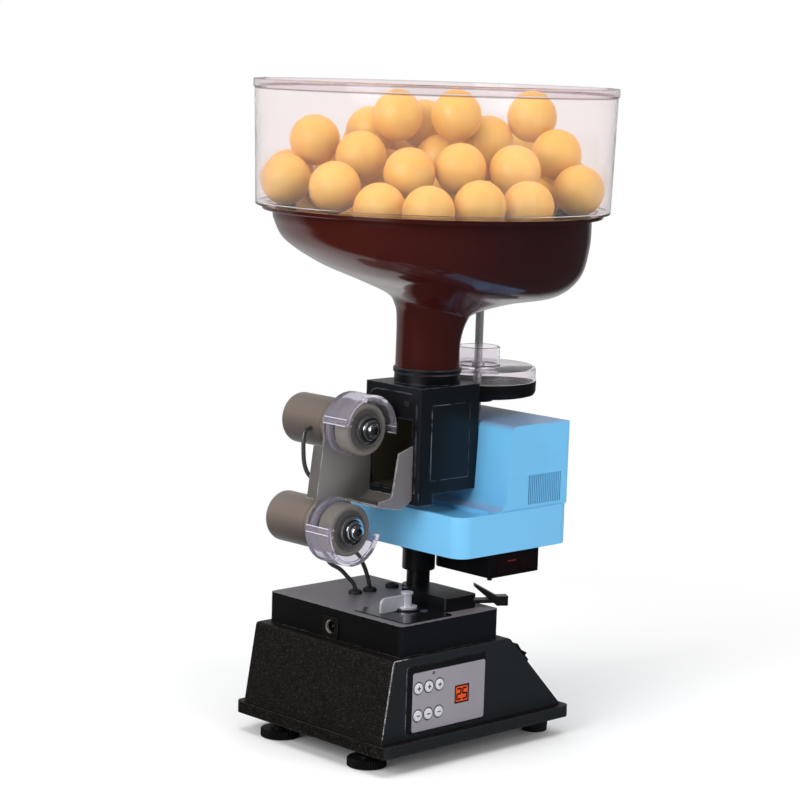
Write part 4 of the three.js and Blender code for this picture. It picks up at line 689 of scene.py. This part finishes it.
# Painted highlights along the feeder box's edges.
add_wear_and_highlight(feeder_slate, tint(120, 124, 136), 1.6, 120)
dress("feeder_box", feeder_slate, 0.4)
dress("exit_plate", slate, 0.4)
dress("feed_plunger", black_plastic, 0.3)
collar = [(25.2, 286.2), (26.4, 286.2), (26.4, 293.6), (27.0, 294), (27.4, 294.4), (27.4, 297.4), (26.8, 298),
          (25.2, 298)]
neck_collar = build("neck_collar_ring", [turn(collar, 96)], slate, "head", "neck_collar")
screw = [(0, -37.5), (2.6, -37.5), (2.6, -36.6), (0, -36.6)]
screw_metal = moulded("screw_metal", tint(120, 120, 126), 0.2, Metallic=1.0)
screw_place = (16.2, 0, 273)
build("exit_screw", [turn(screw, 24, "y", screw_place)], screw_metal, "head")

# Wheel bracket: folded dark sheet steel with a long cheek on the motors' side and a short one in front of the
# feeder. Painted light makes it paler on the faces that look along +X and towards +X, and painted highlights
# run along its cut edges.
sheet_metal = moulded("sheet_metal", tint(104, 99, 95), 0.36, patches=0.16, scale=1200, Metallic=0.25)
# Painted light on the +X faces and towards +X; painted highlights along the cut edges.
paint_shading_by_facing(sheet_metal, tint(146, 142, 142), "X", 0.5, 0.9)
paint_shading_by_place(sheet_metal, "X", 10, 23, tint(120, 115, 118))
add_wear_and_highlight(sheet_metal, tint(232, 232, 236), 2.2, 160, 0.5)
dress("wheel_bracket", sheet_metal, 0.3)

# Throwing wheels: dark speckled foam tyres on bright hubs, each on the shaft of its own motor, and half
# covered by a clear ribbed guard whose ribs are painted highlights in solid pale plastic. Painted shade lies
# in the foam's pits, on the tyres' recessed faces and in the corners of the hubs' steps.
def foam_material(name, pit_shade, skin):
    """Foam rubber: cells with painted shade in their pits and a paler skin between them."""
    material, tree, shader = plain_material(name, Roughness=0.85)
    place = object_place(tree)
    cells = node(tree, "ShaderNodeTexVoronoi", {"Vector": place, "Scale": 1300.0}).outputs["Distance"]
    shade = mixed_colour(tree, ranged(tree, cells, 0.1, 0.6), pit_shade, skin)
    tree.links.new(shade, shader.inputs["Base Color"])
    bumped(tree, shader, cells, 0.5, 0.4 * mm)
    return material


foam = foam_material("wheel_foam", tint(76, 72, 70), tint(116, 110, 106))
# Painted shade: the face disc recessed inside the tread is darker than the tread.
shaded_foam_face = foam_material("wheel_foam_face_shade", tint(50, 48, 48), tint(84, 80, 80))
hex_dark = moulded("hex_dark", tint(26, 26, 29), 0.5)
polished = moulded("polished_metal", tint(214, 216, 222), 0.16, patches=0.05, scale=3000, Metallic=1.0)


def clear_material(name, colour, roughness, ior, clear):
    """Clear plastic with its colour in its body: a fine waviness and smears on its surface, and a pale
    haze where it isn't wholly clear."""
    material, tree, shader = plain_material(name, Base_Color=colour, Roughness=roughness, IOR=ior,
                                            Transmission_Weight=clear)
    spot = object_place(tree)
    bumped(tree, shader, noise(tree, spot, 35.0), 0.12, 0.5 * mm)
    dull = ranged(tree, noise(tree, spot, 14.0, 4.0), 0.0, 1.0, roughness * 0.6, roughness * 1.8)
    tree.links.new(dull, shader.inputs["Roughness"])
    return material


tyre = [
    (16, -11.95), (19.4, -12), (20.4, -11.6), (20.8, -10.7), (20.8, 1.8), (20.5, 2.6), (19.8, 3), (17.6, 3),
    (17.2, 2.7), (16.8, 1.8), (16, 1.7),
]
face = [(6.3, -11.9), (16.1, -11.9), (16.1, 1.75), (6.3, 1.75)]
hub = [
    (0, 8.6), (2.7, 8.6), (2.7, 13.2), (3.1, 13.6), (4.9, 13.6), (5.6, 13.1), (6, 12.3), (6, 10.4),
    (7.4, 10.4), (8.1, 10), (8.3, 9.3), (8.3, 6.7), (10.6, 6.7), (11.3, 6.3), (11.5, 5.6), (11.5, 1.85),
    (6, 1.85), (6, -11.9), (2.5, -11.9), (2.5, -43), (0, -43),
]
nut = [(0, 8.65), (2.5, 8.65), (2.5, 12), (0, 12)]
# Painted shade: thin dark rings in the corners of the hub's steps.
hub_gap_shades = [
    [(5.9, 10.42), (6.8, 10.42), (6.8, 10.6), (5.9, 10.6)],
    [(8.2, 6.72), (9.4, 6.72), (9.4, 6.9), (8.2, 6.9)],
]
round_rear = [(16.3 + 4 * math.sin(t), -73 - 4 * math.cos(t)) for t in np.linspace(0, math.pi / 2, 7)]
can = [(0, -77), *round_rear, (20.3, -30.2), (19.9, -29.8), (19.9, -29.2), (20.3, -28.8), (20.3, -26),
       (19.3, -25), (0, -25)]
# Painted highlight: the guards' ribs are solid pale plastic over the clear guard.
rib_highlight = moulded("rib_highlight", tint(214, 210, 224), 0.25)
head_lean = math.radians(10.4)
rib_left, rib_right, rib_half = -18, 7.4, np.array((0, 0.4, 0.3))
rib_places = [(side * aside, rise) for side in (-1, 1) for aside, rise in ((27.7, 0.35), (27.25, 5.4))]
guard_clear = clear_material("guard_clear", tint(226, 222, 232), 0.06, 1.2, 0.9)
for name, y, z, up in (("upper", -67.27, 253.09, 1), ("lower", -81.73, 174.31, -1)):
    place = (0, y, z)
    ribs = []
    for aside, rise in rib_places:
        low, high = (np.array((along, aside, up * rise)) for along in (rib_left, rib_right))
        points, faces = block(low - rib_half, high + rib_half, 0.2, 0.15, "x", 2)
        across, above = points[:, 1].copy(), points[:, 2].copy()
        points[:, 1] = across * math.cos(head_lean) + above * math.sin(head_lean) + y * mm
        points[:, 2] = above * math.cos(head_lean) - across * math.sin(head_lean) + z * mm
        ribs.append((points, faces))
    build(f"guard_{name}_ribs", ribs, rib_highlight, "head")
    wheel = build(f"wheel_{name}_tyre", [turn(tyre, 96, "x", place)], foam, "wheel_" + name, "wheel_" + name)
    build(f"wheel_{name}_face", [turn(face, 96, "x", place)], shaded_foam_face, "wheel_" + name)
    metal = build(f"hub_{name}_metal", [turn(hub, 64, "x", place)], polished, "wheel_" + name, "hub_" + name)
    gaps = [turn(gap, 64, "x", place) for gap in hub_gap_shades]
    build(f"hub_{name}_socket", [turn(nut, 6, "x", place), *gaps], hex_dark, "wheel_" + name)
    motor = build(f"motor_{name}_can", [turn(can, 96, "x", place)], motor_paint, "head", "motor_" + name)
dress("guard_upper guard_lower", guard_clear, 0.3)

# Stirrer: a dark moulded dish on the housing under a clear cover with a chimney, and a bright shaft
# that rises through the bowl's floor to a paddle.
stir = (-20, 78.5, 0)
dish = [
    (0, 262.5), (12.8, 262.5), (13.3, 263), (13.3, 268.7), (44, 268.7), (47, 269.6), (48.3, 272),
    (48.5, 280.2), (48.1, 280.8), (45.8, 280.8), (45.5, 280.3), (45.5, 273), (0, 273),
]
dish_post = [(0, 255.8), (8, 255.8), (8, 269), (0, 269)]
parts = [turn(dish, 128, place=stir), turn(dish_post, 48, place=(-30, 68.5, 0))]
drive_dish = build("drive_dish_body", parts, black_plastic, "head", "drive_dish")
cover = [
    (48, 280.9), (48, 289.4), (47.2, 291.4), (45.4, 292.4), (18.6, 292.4), (17.8, 293.2), (17.8, 307.2),
    (17.2, 307.9), (16.6, 307.9), (16, 307.2), (16, 287.4), (17.8, 287.4), (17.8, 290.6), (44.8, 290.6),
    (46.2, 288.8), (46.2, 280.9),
]
cover_clear = clear_material("cover_clear", tint(244, 240, 244), 0.06, 1.25, 0.94)
drive_cover = build("drive_cover_shell", [turn(cover, 128, place=stir)], cover_clear, "head", "drive_cover")
shaft_metal = moulded("shaft_metal", tint(176, 172, 178), 0.3, Metallic=0.5)
dress("stir_shaft", shaft_metal, 0.2)
dress("stir_paddle", black_plastic, 0.4)

# Hopper bowl: glossy dark red-brown plastic, with painted shade that makes it darker and more purple on the
# right than on the left. It is deeper on one side than on the other, and its narrow neck stands in the
# feeder's collar.
neck_radius, lip_radius, wall = 25.9, 135, 3
bowl_low, bowl_height, bowl_turn = 298, 126.6, math.radians(65)
shallow_shares = [(0, 0), (0, 0.3), (0.021, 0.401), (0.08, 0.464), (0.296, 0.547), (0.578, 0.647),
                  (0.824, 0.78), (0.91, 0.9), (0.925, 0.965)]
deep_shares = [(0, 0), (0, 0.158), (0.038, 0.284), (0.103, 0.344), (0.35, 0.41), (0.68, 0.465),
               (0.85, 0.59), (0.91, 0.78), (0.918, 0.965)]


def bowl_profile(angle, steps):
    """Outer (radius, height) points at each angle, and the unit steps along them: curves through the
    shares of the bowl's radius and height, mixed by (1 + cos(angle - turn)) / 2."""
    shallow, deep = (curve_through(shares, shares[0], shares[-1], steps)[:, None]
                     for shares in (shallow_shares, deep_shares))
    mix = ((1 + np.cos(angle - bowl_turn)) / 2)[None, :, None]
    curve = shallow * (1 - mix) + deep * mix
    points = np.array((neck_radius, bowl_low)) + curve * (lip_radius - neck_radius, bowl_height)
    along = np.gradient(points, axis=0)
    along /= np.linalg.norm(along, axis=-1)[..., None]
    return points, along


def bowl_shell(steps=72, turns=160):
    """The outer skin is the bowl's profile at each angle, and the inner skin is the outer one moved in by
    the wall along its normal. A flat lip joins them above, and a spigot stands below."""
    angle = np.linspace(0, 2 * np.pi, turns, endpoint=False)
    outer, along = bowl_profile(angle, steps)
    radius, height = outer[..., 0], outer[..., 1]
    inner_radius, inner_height = radius - wall * along[..., 1], height + wall * along[..., 0]
    top = bowl_low + bowl_height
    lip_low, lip_edge = top - 3.6, 0.6
    lip = ((radius[-1] + 1, lip_low), (lip_radius - lip_edge, lip_low), (lip_radius, lip_low + lip_edge),
           (lip_radius, top - lip_edge), (lip_radius - lip_edge, top), (inner_radius[-1] + 0.8, top),
           (inner_radius[-1], top - 0.8))
    spigot_in, spigot_out, spigot_low = neck_radius - wall, neck_radius - 1.6, bowl_low - 9
    spigot = ((spigot_in, bowl_low), (spigot_in, spigot_low), (spigot_out, spigot_low),
              (spigot_out, bowl_low))
    inner = [(inner_radius[k], np.minimum(inner_height[k], top - 1)) for k in range(steps)
             if inner_height[k, 0] > bowl_low + 0.5]
    flat = np.ones(turns)
    rings = list(zip(radius, height)) + [(across * flat, up * flat) for across, up in lip]
    rings += inner[::-1] + [(across * flat, up * flat) for across, up in spigot]
    points = np.stack([np.stack((r * np.cos(angle), r * np.sin(angle), h), -1) for r, h in rings])
    return points.reshape(-1, 3) * mm, grid_faces(len(rings), turns, wrap_rows=True, wrap_columns=True)


bowl_brown, tree, shader = plain_material("bowl_brown", Coat_Weight=0.3)
spot = object_place(tree)
to_the_right = (0.69, 0.72, 0)
# Painted shade: darker and more purple towards the camera's right, over a random tone.
side = ranged(tree, toward(tree, spot, to_the_right), -0.05, 0.09)
tone_and_side_shade = combined(tree, "MULTIPLY_ADD", noise(tree, spot, 9.0, 3.0), 0.3, side)
tree.links.new(mixed_colour(tree, tone_and_side_shade, tint(62, 17, 9), tint(38, 15, 18)), shader.inputs["Base Color"])
bumped(tree, shader, noise(tree, spot, 26.0), 0.25, 0.8 * mm)
dull = ranged(tree, noise(tree, spot, 60.0, 5.0), 0.0, 1.0, 0.08, 0.2)
tree.links.new(dull, shader.inputs["Roughness"])
bowl = build("hopper_bowl_shell", [bowl_shell()], bowl_brown, "head", "hopper_bowl")

# Clear ring: moulded clear plastic. Its foot stands on the bowl's lip and its top edge is rolled, and it
# is greyer in both, where the plastic is thick.
ring_low, ring_top = 424.6, 522.7
ring = [
    (131.4, ring_low), (139.8, ring_low), (140.4, ring_low + 0.6), (143, ring_top - 7), (144, ring_top - 6),
    (144, ring_top - 0.5), (143.5, ring_top), (141.6, ring_top), (141, ring_top - 0.6), (138.4, ring_low + 3),
    (137.8, ring_low + 2.4), (131.4, ring_low + 2.4),
]
ring_clear = clear_material("ring_clear", tint(250, 245, 245), 0.04, 1.22, 0.97)
tree = ring_clear.node_tree
rise = node(tree, "ShaderNodeSeparateXYZ", {0: object_place(tree)}).outputs["Z"]
bands = node(tree, "ShaderNodeValToRGB", {"Fac": ranged(tree, rise, ring_low * mm, ring_top * mm)})
stops = ((0, (200, 184, 184)), (0.03, (250, 245, 245)), (0.915, (250, 245, 245)), (0.925, (160, 138, 138)),
         (0.94, (234, 224, 226)), (0.99, (238, 230, 232)), (1, (190, 174, 174)))
for place, colour in stops[1:-1]:
    bands.color_ramp.elements.new(place).color = tint(*colour)
for end in (0, -1):
    bands.color_ramp.elements[end].color = tint(*stops[end][1])
tree.links.new(bands.outputs["Color"], tree.nodes["Principled BSDF"].inputs["Base Color"])
hopper_ring = build("hopper_ring_band", [turn(ring, 192)], ring_clear, "hopper_ring", "hopper_ring")

# Balls: loose orange balls, forty millimetres across, heaped in the bowl. They start where the picture
# shows them, and settle against each other and the walls.
ball_radius = 20
balls_in_front = 20
seen_balls = np.array([
    # place in the picture in pixels from its left and top, and depth behind the hopper's axis in mm
    (394, 118, 5), (458, 117, 0), (425, 125, 40), (529, 123, 25), (492, 137, 22), (315, 141, 5),
    (362, 157, -20), (369, 135, 30), (409, 176, -50), (460, 169, -45), (514, 172, -40), (557, 156, 5),
    (575, 186, -15), (287, 179, -15), (277, 176, 25), (335, 187, -60), (380, 209, -85), (431, 212, -100),
    (479, 207, -90), (526, 207, -75), (439, 165, 10), (379, 179, 5), (330, 185, 10), (335, 165, 50),
    (300, 180, 60), (420, 170, 70), (470, 170, 60), (520, 175, 50), (560, 180, 50), (380, 185, 80),
    (440, 195, -10), (400, 200, -30), (490, 200, -20), (350, 200, 0), (535, 200, 0), (450, 190, 100),
    (500, 190, 95), (400, 215, 10), (460, 220, 20), (402, 148, 88), (456, 150, 92), (526, 152, 78),
    (322, 170, 62), (352, 160, 72),
], float)


def on_sight_line(seen):
    """Points in mm where the camera's ray through each picture point reaches its depth."""
    across = (seen[:, :1] - picture / 2) / focal_pixels
    rise = (picture / 2 - seen[:, 1:2]) / focal_pixels
    ray = across * np.array(camera_right) + rise * np.array(camera_up) - look_back
    away = -np.array(toward_camera)
    start = np.array(camera_place) / mm
    reach = (seen[:, 2:] - start @ away) / (ray @ away)[:, None]
    return start + ray * reach


def settle(places, rounds=300):
    """Balls that overlap are pushed apart along the line between them, and those beyond the bowl's or
    the ring's wall are pushed in along its normal, in rounds of small steps. The balls in front give
    way less than the ones behind them."""
    ball_air, wall_air, wall_step, ring_step = 0.2, 0.3, 4, 6
    front_ease, back_ease = 0.08, 0.42
    ring_radius, ring_flare, ring_start = 137.4, 3, ring_low + 10
    ease = np.where(np.arange(len(places)) < balls_in_front, front_ease, back_ease)[:, None]
    for _ in range(rounds):
        gap = places[:, None] - places[None]
        far = np.linalg.norm(gap, axis=-1) + np.eye(len(places)) * 1e3
        push = np.clip(2 * ball_radius + ball_air - far, 0, None)
        places = places + (gap / far[..., None] * push[..., None]).sum(1) * ease
        angle = np.arctan2(places[:, 1], places[:, 0])
        reach = np.hypot(places[:, 0], places[:, 1])
        skin, along = bowl_profile(angle, 200)
        inward = np.stack((-along[..., 1], along[..., 0]), -1)
        off = np.stack((reach, places[:, 2]), -1) - skin
        nearest = np.linalg.norm(off, axis=-1).argmin(0), np.arange(len(places))
        depth = (off * inward).sum(-1)[nearest]
        lack = np.clip(wall + ball_radius + wall_air - depth, 0, wall_step) * (places[:, 2] < ring_start)
        move = inward[nearest] * lack[:, None]
        flare = (places[:, 2] - ring_low) / (ring_top - ring_low) * ring_flare
        limit = ring_radius + flare - ball_radius
        shift = move[:, 0] + np.clip(limit - reach, -ring_step, 0) * (places[:, 2] > ring_start)
        places[:, 0] += shift * np.cos(angle)
        places[:, 1] += shift * np.sin(angle)
        places[:, 2] += move[:, 1]
    return places


# Painted glow: the balls give off a faint light of their own colour.
ball_orange, tree, shader = plain_material("ball_orange", Roughness=0.38, Subsurface_Weight=0.6,
                                           Subsurface_Radius=(0.012, 0.007, 0.003), Emission_Strength=0.05)
spot = object_place(tree)
shade = mixed_colour(tree, noise(tree, spot, 30.0, 3.0), tint(216, 172, 76), tint(220, 180, 90))
# Painted rim shade: the balls turn more orange towards their rims.
edge = node(tree, "ShaderNodeLayerWeight", {"Blend": 0.35}).outputs["Facing"]
shade = mixed_colour(tree, edge, shade, tint(228, 160, 72))
tree.links.new(shade, shader.inputs["Base Color"])
bumped(tree, shader, noise(tree, spot, 1500.0), 0.1, 0.05 * mm)
tree.links.new(shade, shader.inputs["Emission Color"])
ball_bend = np.linspace(-np.pi / 2, np.pi / 2, 33)
ball_profile = np.stack((ball_radius * np.cos(ball_bend), ball_radius * np.sin(ball_bend)), 1)
for number, place in enumerate(settle(on_sight_line(seen_balls)), 1):
    build(f"ball_{number:02d}", [turn(ball_profile, 64, place=place)], ball_orange, "head", sharp=180)
